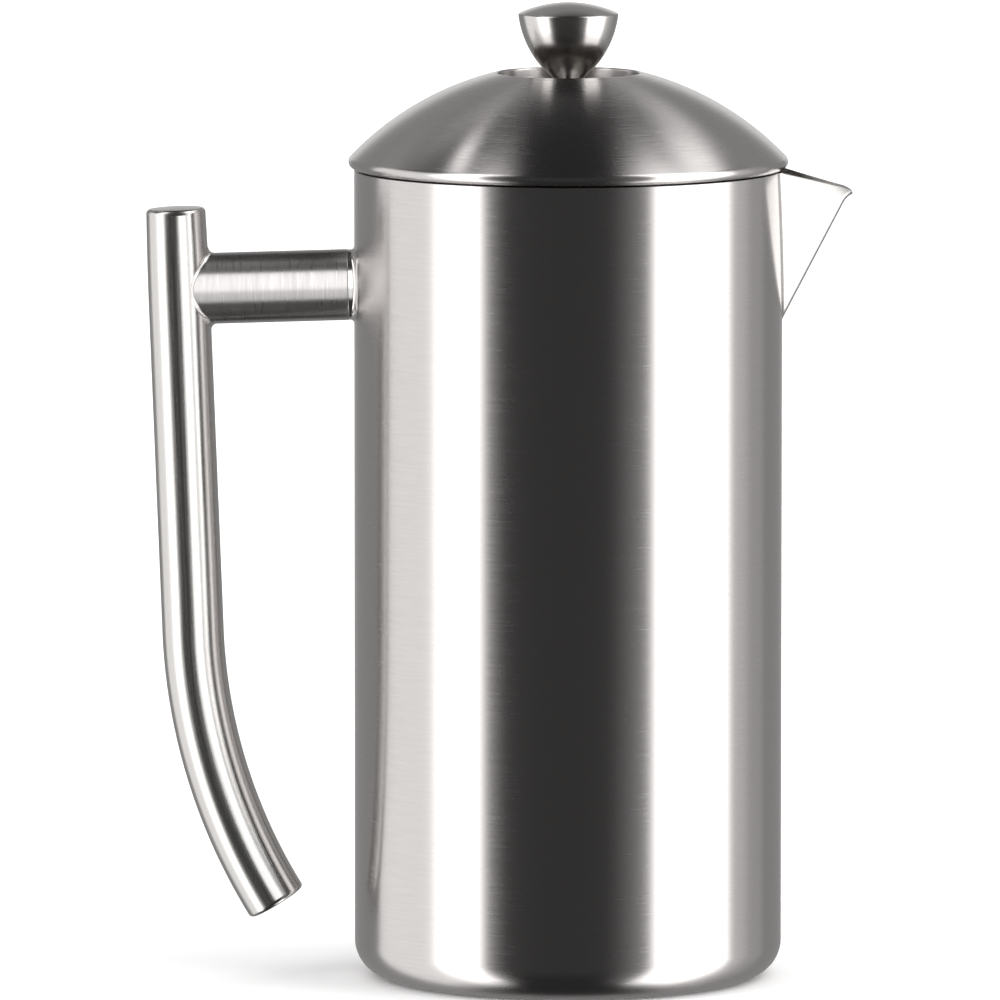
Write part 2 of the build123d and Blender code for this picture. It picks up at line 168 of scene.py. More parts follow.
class LidSizes(bpy.types.PropertyGroup):
    """The domed lid with its well"""

    sheet: length("Sheet", "Thickness of the lid's sheet", 0.9)
    dome: length("Dome radius", "Radius of the dome's arc", 76.0)
    radius: length("Radius", "Outer radius of the rolled edge", round(high("lid_dome", 1), 2))
    roll: length("Roll", "Outer radius of the rolled edge's section", 1.7)
    seam: length("Seam", "Gap between the rolled edge and the carafe's rim", 0.45)
    hem: length("Hem", "Inner radius of the folded hem", 51.9)
    well: length("Well radius", "Inner radius of the well's lip", 17.9)
    well_lip: length("Well lip", "Height of the well's straight lip", 2.4)
    lip_round: length("Lip rounding", "Rounding of the well's lip", 0.5)
    well_depth: length("Well depth", "Depth of the well", 11.0)
    well_taper: length("Well taper", "How much narrower the well's floor is", 2.4)
    well_corner: length("Well corner", "Radius of the well's bottom corner", 4.0)
    skirt: length(
        "Skirt radius", "Outer radius of the skirt", round(high("lid_underplate", 1), 2) + SKIRT_WALL
    )
    skirt_wall: length("Skirt wall", "Thickness of the skirt's sheet", SKIRT_WALL)
    sleeve: length("Guide sleeve", "Outer radius of the rod guide's sleeve", 5.0)
    collar: length("Guide collar", "Outer radius of the rod guide's flange", 7.5)
    bore: length("Guide bore", "Radius of the rod guide's bore", 3.06)


class PlungerSizes(bpy.types.PropertyGroup):
    """The knob and the rod"""

    edge: length("Knob radius", "Radius of the knob's widest edge", 12.65)
    crown: length("Knob crown", "Rise of the knob's top", 2.8)
    neck: length("Neck radius", "Radius of the knob's neck", 3.7)
    neck_length: length("Neck length", "Height of the straight neck", 6.0)
    belly: length("Flank radius", "Radius of the knob halfway up its flank", 9.45)
    belly_drop: length("Flank drop", "How far below the edge that is", 9.7)
    edge_round: length("Edge rounding", "Rounding of the knob's edge", 0.45)
    rod: length("Rod radius", "Radius of the rod", 3.0)
    stud: length("Stud radius", "Radius over the thread", 2.45)
    thread: length("Thread depth", "Depth of the thread", 0.3)
    pitch: length("Thread pitch", "Rise of the thread for one turn", 0.8)
    collar: length("Collar radius", "Radius of the collar on the rod", 6.5)


class FilterSizes(bpy.types.PropertyGroup):
    """The screens and the garter spring"""

    radius: length("Screen radius", "Outer radius of the fine screen", 48.6)
    fine: length("Fine mesh", "Thickness of the fine screen", 0.4)
    turn: length("Screen corner", "Radius of the fine screen's turned-up edge", 2.2)
    envelope: length("Spring radius", "Outer radius of the spring's coil", 2.3)
    wire: length("Spring wire", "Radius of the spring's wire", 0.3)
    pitch: length("Coil pitch", "Distance from one coil to the next", 1.35)
    bore: length("Centre hole", "Radius of the screens' centre hole", 2.7)


class SteelColours(bpy.types.PropertyGroup):
    """The colours of the stainless steel in its several finishes"""

    brushed: colour("Brushed steel", "Body, lid, arm and base", "D2CFCE")
    satin: colour("Satin steel", "Spout, grip, caps, knob and liner", "D4D2D0")
    bright: colour("Bright steel", "Weld ring, rod and spring", "DDDBD9")
    # Painted shade: this colour is darker than the other steels to stand for the shade in the deep well, and
    # the skirt under the lid shares it.
    well: colour("Well", "The lid's well and skirt, duller than the rest", "98948F")
    plain: colour("Turned and stamped steel", "Nuts, guide and plates", "C8C5C2")
    mesh: colour("Woven wire", "The screens' wires", "BDB8B2")
    floor: colour("Floor", "The plain floor", "F4F4F4")


class PressSettings(bpy.types.PropertyGroup):
    """Everything that the panel offers"""

    carafe: bpy.props.PointerProperty(name="Carafe", description="The carafe's sizes", type=CarafeSizes)
    spout: bpy.props.PointerProperty(name="Spout", description="The spout's sizes", type=SpoutSizes)
    handle: bpy.props.PointerProperty(name="Handle", description="The handle's sizes", type=HandleSizes)
    lid: bpy.props.PointerProperty(name="Lid", description="The lid's sizes", type=LidSizes)
    plunger: bpy.props.PointerProperty(name="Plunger", description="The plunger's sizes", type=PlungerSizes)
    filter: bpy.props.PointerProperty(name="Filter", description="The filter's sizes", type=FilterSizes)
    steel: bpy.props.PointerProperty(name="Steel", description="The steel's colours", type=SteelColours)


# ---- outlines ----
def arc(centre, radius, start, end, steps):
    """The points of an arc from one angle to another, both ends included."""
    angles = [start + (end - start) * k / steps for k in range(steps + 1)]
    return [(centre[0] + radius * cos(a), centre[1] + radius * sin(a)) for a in angles]


def arc_through(first, middle, last, steps):
    """The points of the arc through three points."""
    a, b, c = Vector(first), Vector(middle), Vector(last)
    across, chord = b - a, c - a
    twice = 2 * across.cross(chord)
    x = (chord.y * across.length_squared - across.y * chord.length_squared) / twice
    y = (across.x * chord.length_squared - chord.x * across.length_squared) / twice
    centre = a + Vector((x, y))
    start, end = a - centre, c - centre
    return [centre + start.slerp(end, k / steps) * start.length for k in range(steps + 1)]


def rounded(corners, steps=6):
    """A closed outline. A corner with a third number is rounded to that radius."""
    outline = []
    for i, corner in enumerate(corners):
        here = Vector(corner[:2])
        if len(corner) == 2:
            outline.append(here)
            continue
        radius = corner[2]
        back = (Vector(corners[i - 1][:2]) - here).normalized()
        ahead = (Vector(corners[(i + 1) % len(corners)][:2]) - here).normalized()
        half = back.angle(ahead) / 2
        centre = here + (back + ahead).normalized() * radius / sin(half)
        start = here + back * radius / tan(half) - centre
        end = here + ahead * radius / tan(half) - centre
        outline += [centre + start.slerp(end, k / steps) * radius for k in range(steps + 1)]
    return outline


# ---- mesh helpers ----
def turned(outline, steps=ROUND):
    """A closed outline of (radius, height) turned once round Z."""
    bm = bmesh.new()
    ring = [bm.verts.new((p[0], 0, p[1])) for p in outline]
    for start, end in zip(ring, ring[1:] + ring[:1]):
        if start.co.x > 0 or end.co.x > 0:
            bm.edges.new((start, end))
    bmesh.ops.spin(
        bm,
        geom=bm.verts[:] + bm.edges[:],
        cent=(0, 0, 0),
        axis=(0, 0, 1),
        angle=tau,
        steps=steps,
        use_merge=True,
    )
    bmesh.ops.remove_doubles(bm, verts=bm.verts[:], dist=MERGE)
    bmesh.ops.recalc_face_normals(bm, faces=bm.faces[:])
    return bm


def make_object(bm, name):
    """The bmesh as an object of the scene."""
    mesh = bpy.data.meshes.new(name)
    bm.to_mesh(mesh)
    bm.free()
    made = bpy.data.objects.new(name, mesh)
    bpy.context.scene.collection.objects.link(made)
    return made


def apply_modifiers(made):
    """Bakes an object's modifiers into its mesh."""
    graph = bpy.context.evaluated_depsgraph_get()
    mesh = bpy.data.meshes.new_from_object(made.evaluated_get(graph), depsgraph=graph)
    made.modifiers.clear()
    made.data = mesh
    mesh.name = made.name


def cut(made, *cutters):
    """Takes the cutters' volumes out of an object."""
    for cutter in cutters:
        tool = made.modifiers.new("cut", "BOOLEAN")
        tool.operation = "DIFFERENCE"
        tool.solver = "EXACT"
        tool.object = cutter
    apply_modifiers(made)


def discard(*objects):
    """Removes cutting tools that have done their work."""
    for tool in objects:
        bpy.data.objects.remove(tool)


def dress(made, body, material, nodes=(), crease=32.0):
    """Shades a piece smooth between creases, gives it its finish and lets it ride on its body."""
    made.data.materials.clear()
    made.data.materials.append(material)
    made.data.shade_smooth()
    made.data.set_sharp_from_angle(angle=radians(crease))
    weights = made.modifiers.new("weighted normals", "WEIGHTED_NORMAL")
    weights.mode = "FACE_AREA_WITH_ANGLE"
    weights.keep_sharp = True
    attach(made, body)
    if nodes:
        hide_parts(*nodes)
    return made


def refinish(node, material):
    """Gives a CAD node that keeps its mesh a better material."""
    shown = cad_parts[node]
    shown.data.materials.clear()
    shown.data.materials.append(material)


# ---- material helpers ----
def add_node(tree, kind, inputs=None, **settings):
    """Adds a node, sets its own settings, and gives its inputs values or links."""
    node = tree.nodes.new(kind)
    for key, value in settings.items():
        setattr(node, key, value)
    for key, value in (inputs or {}).items():
        if isinstance(value, bpy.types.NodeSocket):
            tree.links.new(value, node.inputs[key])
        else:
            node.inputs[key].default_value = value
    return node


def steel(name, tint, roughness, anisotropy=0.0, brushed_round="Z"):
    """A bare stainless steel: its tree and its shader. Anisotropy is for lines round an axis."""
    material = bpy.data.materials.get(name) or bpy.data.materials.new(name)
    material.use_nodes = True
    tree = material.node_tree
    tree.nodes.clear()
    shader = add_node(
        tree,
        "ShaderNodeBsdfPrincipled",
        {"Base Color": (*tint, 1.0), "Metallic": 1.0, "Roughness": roughness, "Anisotropic": anisotropy},
    )
    if anisotropy:
        # The glint is stretched across the lines, so the tangent is turned a quarter from them.
        around = add_node(tree, "ShaderNodeTangent", direction_type="RADIAL", axis=brushed_round)
        shader.inputs["Anisotropic Rotation"].default_value = 0.25
        tree.links.new(around.outputs["Tangent"], shader.inputs["Tangent"])
    add_node(tree, "ShaderNodeOutputMaterial", {"Surface": shader.outputs["BSDF"]})
    material.diffuse_color = (*tint, 1.0)
    return material, tree, shader


def lines_round_axis(tree):
    """Object coordinates unrolled for lines round Z: X, Y, and the distance across the lines."""
    place = add_node(tree, "ShaderNodeTexCoord").outputs["Object"]
    flat = add_node(tree, "ShaderNodeVectorMath", {0: place, 1: (1, 1, 0)}, operation="MULTIPLY")
    reach = add_node(tree, "ShaderNodeVectorMath", {0: flat.outputs[0]}, operation="LENGTH")
    parts = add_node(tree, "ShaderNodeSeparateXYZ", {0: place})
    across = add_node(
        tree, "ShaderNodeMath", {0: reach.outputs["Value"], 1: parts.outputs["Z"]}, operation="SUBTRACT"
    )
    joined = add_node(
        tree,
        "ShaderNodeCombineXYZ",
        {"X": parts.outputs["X"], "Y": parts.outputs["Y"], "Z": across.outputs[0]},
    )
    return joined.outputs[0]


def streaks(tree, place, scale, detail=3.0):
    """Noise drawn out into streaks: scale is how many there are in a metre along X, Y and Z."""
    drawn = add_node(tree, "ShaderNodeMapping", {"Vector": place, "Scale": scale})
    noise = add_node(
        tree,
        "ShaderNodeTexNoise",
        {"Vector": drawn.outputs[0], "Scale": 1.0, "Detail": detail, "Roughness": 0.6},
    )
    return noise.outputs["Fac"]


def grain(tree, shader, lines, tint, spread, roughness, depth):
    """Lets streaks vary a steel's colour, roughness and height.

    spread is how far the colour goes darker, roughness its lowest and highest value,
    and depth the height of the lines in metres.
    """
    stretched = add_node(
        tree, "ShaderNodeMapRange", {"Value": lines, "From Min": 0.3, "From Max": 0.7}
    ).outputs[0]
    dark = tuple(c * (1.0 - spread) for c in tint)
    shade = add_node(
        tree,
        "ShaderNodeMix",
        {"Factor": stretched, 6: (*dark, 1.0), 7: (*tint, 1.0)},
        data_type="RGBA",
    )
    rough = add_node(
        tree, "ShaderNodeMapRange", {"Value": stretched, "To Min": roughness[1], "To Max": roughness[0]}
    )
    raised = add_node(tree, "ShaderNodeBump", {"Height": lines, "Strength": 1.0, "Distance": depth})
    tree.links.new(shade.outputs[2], shader.inputs["Base Color"])
    tree.links.new(rough.outputs[0], shader.inputs["Roughness"])
    tree.links.new(raised.outputs[0], shader.inputs["Normal"])


# ---- materials ----
def brushed_round_body(tint):
    """Stainless sheet brushed round the body on a belt: fine level lines that stretch glints upright."""
    material, tree, shader = steel("stainless_brushed_round_body", tint, 0.25, 0.85)
    # Lines 0.35 mm apart and about 9 mm long: the real grit 180 lines are too fine to show.
    lines = streaks(tree, lines_round_axis(tree), (110, 110, 2900))
    grain(tree, shader, lines, tint, 0.05, (0.225, 0.275), 0.0002 * MM)
    return material


def brushed_round_lid(tint):
    """Stainless sheet brushed in circles on a lathe: glints fan out from the middle of the dome."""
    material, tree, shader = steel("stainless_brushed_round_lid", tint, 0.25, 0.9)
    # Lines 0.35 mm apart and about 9 mm long, in circles round the knob.
    lines = streaks(tree, lines_round_axis(tree), (110, 110, 2900))
    grain(tree, shader, lines, tint, 0.1, (0.215, 0.28), 0.0003 * MM)
    return material


def brushed_base(tint):
    """Stainless sheet brushed coarsely in circles: the underside, less carefully finished."""
    material, tree, shader = steel("stainless_brushed_base", tint, 0.38, 0.7)
    lines = streaks(tree, lines_round_axis(tree), (80, 80, 1800))  # lines 0.55 mm apart
    grain(tree, shader, lines, tint, 0.16, (0.3, 0.48), 0.003 * MM)
    return material


def brushed_round_arm(tint):
    """Stainless tube brushed round its length by hand: upright scratches of uneven depth."""
    material, tree, shader = steel("stainless_brushed_round_arm", tint, 0.3, 0.6, "X")
    place = add_node(tree, "ShaderNodeTexCoord").outputs["Object"]
    lines = streaks(tree, place, (2400, 110, 110), 4.0)  # lines 0.4 mm apart, 9 mm long
    grain(tree, shader, lines, tint, 0.14, (0.26, 0.34), 0.0009 * MM)
    return material


def satin_spout(tint):
    """Stainless sheet blasted lightly after folding: an even satin with no direction."""
    material, tree, shader = steel("stainless_satin_spout", tint, 0.3)
    place = add_node(tree, "ShaderNodeTexCoord").outputs["Object"]
    specks = streaks(tree, place, (2600, 2600, 2600), 2.0)  # grit marks 0.4 mm across
    grain(tree, shader, specks, tint, 0.03, (0.26, 0.32), 0.0004 * MM)
    return material


def satin_grip(tint):
    """Stainless tube polished along its length: faint drawn lines that follow the bend."""
    material, tree, shader = steel("stainless_satin_grip", tint, 0.24)
    place = add_node(tree, "ShaderNodeAttribute", attribute_name="along").outputs["Vector"]
    lines = streaks(tree, place, (1800, 1800, 25), 3.0)  # lines 0.55 mm apart, 40 mm long
    grain(tree, shader, lines, tint, 0.07, (0.19, 0.3), 0.0006 * MM)
    return material


def satin_cap(tint):
    """Stainless plug ground flush on a belt: a soft grey satin."""
    material, tree, shader = steel("stainless_satin_cap", tint, 0.27)
    place = add_node(tree, "ShaderNodeTexCoord").outputs["Object"]
    lines = streaks(tree, place, (200, 1800, 200))  # belt lines 0.55 mm apart, 5 mm long
    grain(tree, shader, lines, tint, 0.06, (0.24, 0.3), 0.0004 * MM)
    return material


def polished_weld(tint):
    """Weld ground and buffed to a mirror: bright, with a faint ripple left by the bead."""
    material, tree, shader = steel("stainless_polished_weld", tint, 0.17)
    place = add_node(tree, "ShaderNodeTexCoord").outputs["Object"]
    ripple = streaks(tree, place, (450, 450, 450), 1.0)  # ripples 2.2 mm apart
    grain(tree, shader, ripple, tint, 0.03, (0.14, 0.2), 0.003 * MM)
    return material


def satin_well_painted_shade(tint):
    """Pressed stainless cup, satin inside: fine rings from its spinning. The tint it is given for the well
    is darkened as painted shade.
    """
    material, tree, shader = steel("stainless_satin_well", tint, 0.3, 0.5)
    lines = streaks(tree, lines_round_axis(tree), (90, 90, 2200))  # rings 0.45 mm apart
    grain(tree, shader, lines, tint, 0.1, (0.24, 0.36), 0.001 * MM)
    return material


def satin_knob(tint):
    """Turned solid stainless, satin polished on the lathe: faint rings, clean glints."""
    material, tree, shader = steel("stainless_satin_knob", tint, 0.22, 0.4)
    lines = streaks(tree, lines_round_axis(tree), (120, 120, 2400))  # rings 0.4 mm apart
    grain(tree, shader, lines, tint, 0.06, (0.19, 0.26), 0.0003 * MM)
    return material


def satin_liner(tint):
    """Pressed stainless liner, satin inside: fine lines round it and wide soft glints."""
    material, tree, shader = steel("stainless_satin_liner", tint, 0.32, 0.4)
    lines = streaks(tree, lines_round_axis(tree), (60, 60, 2000))  # lines 0.5 mm apart
    grain(tree, shader, lines, tint, 0.1, (0.26, 0.4), 0.001 * MM)
    return material


def turned_steel(tint):
    """Stainless bar turned on a lathe: fine tool rings on small fittings."""
    material, tree, shader = steel("stainless_turned", tint, 0.26, 0.5)
    lines = streaks(tree, lines_round_axis(tree), (30, 30, 3000))  # tool rings 0.33 mm apart
    grain(tree, shader, lines, tint, 0.12, (0.2, 0.34), 0.003 * MM)
    return material


def polished_rod(tint):
    """Ground and polished stainless rod: almost a mirror, with hair lines along it."""
    material, tree, shader = steel("stainless_polished_rod", tint, 0.12)
    place = add_node(tree, "ShaderNodeTexCoord").outputs["Object"]
    lines = streaks(tree, place, (2500, 2500, 40), 2.0)  # hair lines 0.4 mm apart
    grain(tree, shader, lines, tint, 0.05, (0.08, 0.17), 0.0004 * MM)
    return material


def stamped_steel(tint):
    """Bright rolled stainless sheet, stamped: smooth with a slight cloudiness."""
    material, tree, shader = steel("stainless_stamped", tint, 0.24)
    place = add_node(tree, "ShaderNodeTexCoord").outputs["Object"]
    clouds = streaks(tree, place, (160, 700, 160), 4.0)  # rolling marks 1.4 mm apart
    grain(tree, shader, clouds, tint, 0.1, (0.18, 0.32), 0.001 * MM)
    return material


def spring_wire(tint):
    """Cold-drawn stainless spring wire: bright, with small dull patches."""
    material, tree, shader = steel("stainless_spring_wire", tint, 0.2)
    place = add_node(tree, "ShaderNodeTexCoord").outputs["Object"]
    patches = streaks(tree, place, (600, 600, 600), 2.0)  # patches 1.7 mm across
    grain(tree, shader, patches, tint, 0.12, (0.14, 0.28), 0.0005 * MM)
    return material


def woven_wire(name, tint, pitch, rim):
    """Plain-woven stainless wire cloth on a solid sheet: round wires that pass over and under, with the
    openings between them painted near black as shade.

    pitch is the wire spacing in metres, rim the lowest and highest roughness.
    """
    material, tree, shader = steel(name, tint, rim[0])
    place = add_node(tree, "ShaderNodeTexCoord").outputs["Object"]
    parts = add_node(tree, "ShaderNodeSeparateXYZ", {0: place})
    turns = []
    for axis in ("X", "Y"):
        phase = add_node(
            tree, "ShaderNodeMath", {0: parts.outputs[axis], 1: pi / pitch}, operation="MULTIPLY"
        )
        wave = add_node(tree, "ShaderNodeMath", {0: phase.outputs[0]}, operation="SINE")
        turns.append(wave.outputs[0])
    crowns = [add_node(tree, "ShaderNodeMath", {0: t}, operation="ABSOLUTE").outputs[0] for t in turns]
    over = add_node(tree, "ShaderNodeMath", {0: turns[0], 1: turns[1]}, operation="MULTIPLY").outputs[0]
    height = add_node(
        tree, "ShaderNodeMath", {0: crowns[0], 1: crowns[1]}, operation="MAXIMUM"
    ).outputs[0]
    hole = add_node(
        tree, "ShaderNodeMapRange", {"Value": height, "From Min": 0.45, "From Max": 0.75}
    ).outputs[0]
    # Painted shade: the openings between the wires are coloured near black in place of the shade seen
    # through them.
    shade = add_node(
        tree,
        "ShaderNodeMix",
        {"Factor": hole, 6: (0.02, 0.02, 0.02, 1.0), 7: (*tint, 1.0)},
        data_type="RGBA",
    )
    lifted = add_node(tree, "ShaderNodeMath", {0: over, 1: 0.4, 2: height}, operation="MULTIPLY_ADD")
    raised = add_node(
        tree, "ShaderNodeBump", {"Height": lifted.outputs[0], "Strength": 1.0, "Distance": pitch * 0.35}
    )
    rough = add_node(
        tree, "ShaderNodeMapRange", {"Value": hole, "To Min": rim[1], "To Max": rim[0]}
    )
    tree.links.new(shade.outputs[2], shader.inputs["Base Color"])
    tree.links.new(rough.outputs[0], shader.inputs["Roughness"])
    tree.links.new(raised.outputs[0], shader.inputs["Normal"])
    return material


def woven_coarse(tint):
    """Coarse stainless wire cloth that backs the fine one: wires 1.2 mm apart."""
    return woven_wire("stainless_woven_coarse", tint, 1.2 * MM, (0.3, 0.6))


def woven_fine(tint):
    """Fine stainless wire cloth, drawn at 0.5 mm where the real one's 0.2 mm is too fine to show."""
    return woven_wire("stainless_woven_fine", tint, 0.5 * MM, (0.34, 0.65))


# ---- carafe ----
def spout_section(bm, spout, inset, legs):
    """The spout's V section at its foot, with its ridge rounded, as edges of bm."""
    foot = spout_foot()
    radius = spout.bend - inset
    centre = foot @ Vector((-spout.bend, 0, 0))
    ridge = foot.to_3x3() @ Vector((0, 0, 1))
    flat_start = Vector((radius * sin(spout.half) - spout.bend, -radius * cos(spout.half), 0))
    start = bm.verts.new(foot @ flat_start)
    turn = bmesh.ops.spin(
        bm, geom=[start], cent=centre, axis=ridge, angle=pi - 2 * spout.half, steps=14, use_merge=False
    )
    end = [v for v in turn["geom_last"] if isinstance(v, bmesh.types.BMVert)][0]
    for vert, side in ((start, -1), (end, 1)):
        tip = bmesh.ops.extrude_vert_indiv(bm, verts=[vert])["verts"]
        run = foot.to_3x3() @ Vector((-cos(spout.half), side * sin(spout.half), 0)) * legs
        bmesh.ops.translate(bm, verts=tip, vec=run)
    return ridge


def spout_foot():
    """The frame of the spout's section: X out across the ridge, Y sideways, Z up along the ridge."""
    settings = bpy.context.scene.french_press
    spout, carafe = settings.spout, settings.carafe
    place = Matrix.Translation((carafe.radius, 0, carafe.height - spout.drop))
    return place @ Matrix.Rotation(spout.lean, 4, "Y")


def spout_sheet(spout, inset, below, legs):
    """The V sheet of the spout before it is trimmed: straight up the ridge, then curled out."""
    bm = bmesh.new()
    ridge = spout_section(bm, spout, inset, legs)
    bmesh.ops.translate(bm, verts=bm.verts[:], vec=-ridge * below)
    up = bmesh.ops.extrude_edge_only(bm, edges=bm.edges[:])["geom"]
    top = [v for v in up if isinstance(v, bmesh.types.BMVert)]
    bmesh.ops.translate(bm, verts=top, vec=ridge * (below + spout.ridge))
    edges = [e for e in up if isinstance(e, bmesh.types.BMEdge) and all(v in top for v in e.verts)]
    hinge = spout_foot() @ Vector((spout.flare_radius, 0, spout.ridge))
    bmesh.ops.spin(
        bm, geom=top + edges, cent=hinge, axis=(0, 1, 0), angle=spout.flare, steps=18, use_merge=False
    )
    bmesh.ops.remove_doubles(bm, verts=bm.verts[:], dist=MERGE)
    return bm


def spout_cutter(spout, name, inset):
    """A closed prism that takes the spout's opening out of the carafe's walls."""
    legs, below, tall = 40 * MM, 14 * MM, 90 * MM
    bm = bmesh.new()
    ridge = spout_section(bm, spout, inset, legs)
    ends = [v for v in bm.verts if len(v.link_edges) == 1]
    bm.edges.new(ends)
    bmesh.ops.translate(bm, verts=bm.verts[:], vec=-ridge * below)
    section = bmesh.ops.contextual_create(bm, geom=bm.edges[:])["faces"]
    prism = bmesh.ops.extrude_face_region(bm, geom=section)["geom"]
    top = [v for v in prism if isinstance(v, bmesh.types.BMVert)]
    bmesh.ops.translate(bm, verts=top, vec=ridge * tall)
    bmesh.ops.recalc_face_normals(bm, faces=bm.faces[:])
    return make_object(bm, name)


def shell_outline(c):
    """The outer shell's sheet: wall, rounded corner, flat foot and the turned-in foot ring."""
    foot, inside = c.foot, c.radius - c.wall
    hem_round = 0.4 * MM
    return rounded(
        [
            (c.radius, c.height),
            (c.radius, c.height * 0.5),
            (c.radius, 0, c.corner),
            (foot - c.wall, 0, hem_round),
            (foot - c.wall, c.recess + c.wall),
            (foot, c.recess + c.wall),
            (foot, c.wall),
            (inside, c.wall, c.corner - c.wall),
            (inside, c.height * 0.5),
            (inside, c.height),
        ],
        14,
    )


def liner_outline(c):
    """The inner liner: floor, wall, and the flange that closes the gap at the rim."""
    outside = c.radius - c.wall - c.gap
    inside = outside - c.liner_wall
    low_face = c.floor - c.liner_wall
    return rounded(
        [
            (0, low_face),
            (outside, low_face, c.liner_corner + c.liner_wall),
            (outside, c.height - c.liner_wall),
            (c.radius - c.wall, c.height - c.liner_wall),
            (c.radius - c.wall, c.height),
            (inside, c.height, c.mouth),
            (inside, c.height * 0.5),
            (inside, c.floor, c.liner_corner),
            (0, c.floor),
        ],
        12,
    )


def ball_seat(point, normal, run, axis_point, axis, radius, ball, side):
    """Where a ball in the corner between a prism's face and a round bar touches both.

    The prism's face passes through point along run, the bar is given by its axis and radius.
    side picks the first (-1) or the second (1) meeting along run. Returns centre and touch points.
    """
    start = point + normal * ball - axis_point
    start -= axis * start.dot(axis)
    step = run - axis * run.dot(axis)
    along = start.dot(step)
    reach = radius + ball
    root = sqrt(along * along - step.length_squared * (start.length_squared - reach * reach))
    shift = (-along + side * root) / step.length_squared
    centre = point + normal * ball + run * shift
    out = centre - axis_point
    out -= axis * out.dot(axis)
    return centre, point + run * shift, centre - out.normalized() * ball


def weld_bead(rows, run, bar, ball, side, closed, sink):
    """A concave bead between a prism and a round bar.

    rows are (point, normal) round the prism's section, bar is (axis point, axis, radius),
    and sink is how far the bead's root lies under both faces.
    """
    steps = 8
    near_face, deepest = 0.4, 1.35  # where the root turns: shares of the sink and of the ball's radius
    bm = bmesh.new()
    rings = []
    for point, normal in rows:
        centre, first, last = ball_seat(point, normal, run, *bar, ball, side)
        a, b = first - centre, last - centre
        arc_points = [centre + a.slerp(b, k / steps) * ball for k in range(steps + 1)]
        inward = (a + b).normalized() * sink
        root = [
            last + inward * near_face,
            centre + (a + b).normalized() * ball * deepest + inward,
            first + inward * near_face,
        ]
        ring = [bm.verts.new(p) for p in arc_points + root]
        rings.append([bm.edges.new((v, w)) for v, w in zip(ring, ring[1:] + ring[:1])])
    pairs = list(zip(rings, rings[1:]))
    if closed:
        pairs.append((rings[-1], rings[0]))
    for near, far in pairs:
        bmesh.ops.bridge_loops(bm, edges=near + far)
    if not closed:
        for edges in (rings[0], rings[-1]):
            bmesh.ops.contextual_create(bm, geom=edges)
    bmesh.ops.recalc_face_normals(bm, faces=bm.faces[:])
    return bm


def spout_rows(spout, legs, steps):
    """Points and outward normals round the spout's V section, from one leg's end to the other's."""
    foot = spout_foot()
    turn = foot.to_3x3()
    rows = []
    bend_steps = 12
    swing = pi / 2 - spout.half
    centre = Vector((-spout.bend, 0, 0))
    leg_steps = [k / steps for k in range(steps, 0, -1)]
    for side in (-1, 1):
        normal = Vector((cos(swing), side * sin(swing), 0))
        run = Vector((-cos(spout.half), side * sin(spout.half), 0))
        leg = [(centre + normal * spout.bend + run * legs * t, normal) for t in leg_steps]
        if side == -1:
            rows += leg
            for k in range(bend_steps + 1):
                turned_by = -swing + 2 * swing * k / bend_steps
                around = Vector((cos(turned_by), sin(turned_by), 0))
                rows.append((centre + around * spout.bend, around))
        else:
            rows += reversed(leg)
    return [(foot @ point, turn @ normal) for point, normal in rows], turn @ Vector((0, 0, 1))


class PRESS_OT_carafe(bpy.types.Operator):
    """Build the carafe: outer shell, inner liner and base plate"""

    bl_idname = "press.carafe"
    bl_label = "Carafe"

    def execute(self, context):
        settings = context.scene.french_press
        carafe, spout, tints = settings.carafe, settings.spout, settings.steel
        cutter = spout_cutter(spout, "opening_tool", carafe.wall / 2)
        shell = make_object(turned(shell_outline(carafe)), "brushed_outer_shell")
        liner = make_object(turned(liner_outline(carafe)), "satin_inner_liner")
        for part in (shell, liner):
            cut(part, cutter)
        discard(cutter)
        dress(shell, "carafe", brushed_round_body(tints.brushed), ["outer_shell"])
        dress(liner, "carafe", satin_liner(tints.satin), ["inner_liner"])
        radius, low_face = carafe.foot - carafe.wall, carafe.recess
        top = carafe.recess + carafe.wall
        rise, step_out, step_in, bend = 0.7 * MM, 31 * MM, 29.5 * MM, 1.5 * MM
        plate = rounded(
            [
                (0, low_face + rise),
                (step_in, low_face + rise, bend),
                (step_out, low_face, bend),
                (radius, low_face),
                (radius, top),
                (step_out, top, bend),
                (step_in, top + rise, bend),
                (0, top + rise),
            ]
        )
        base = make_object(turned(plate), "brushed_base_plate")
        dress(base, "carafe", brushed_base(tints.brushed), ["base_plate"])
        return {"FINISHED"}


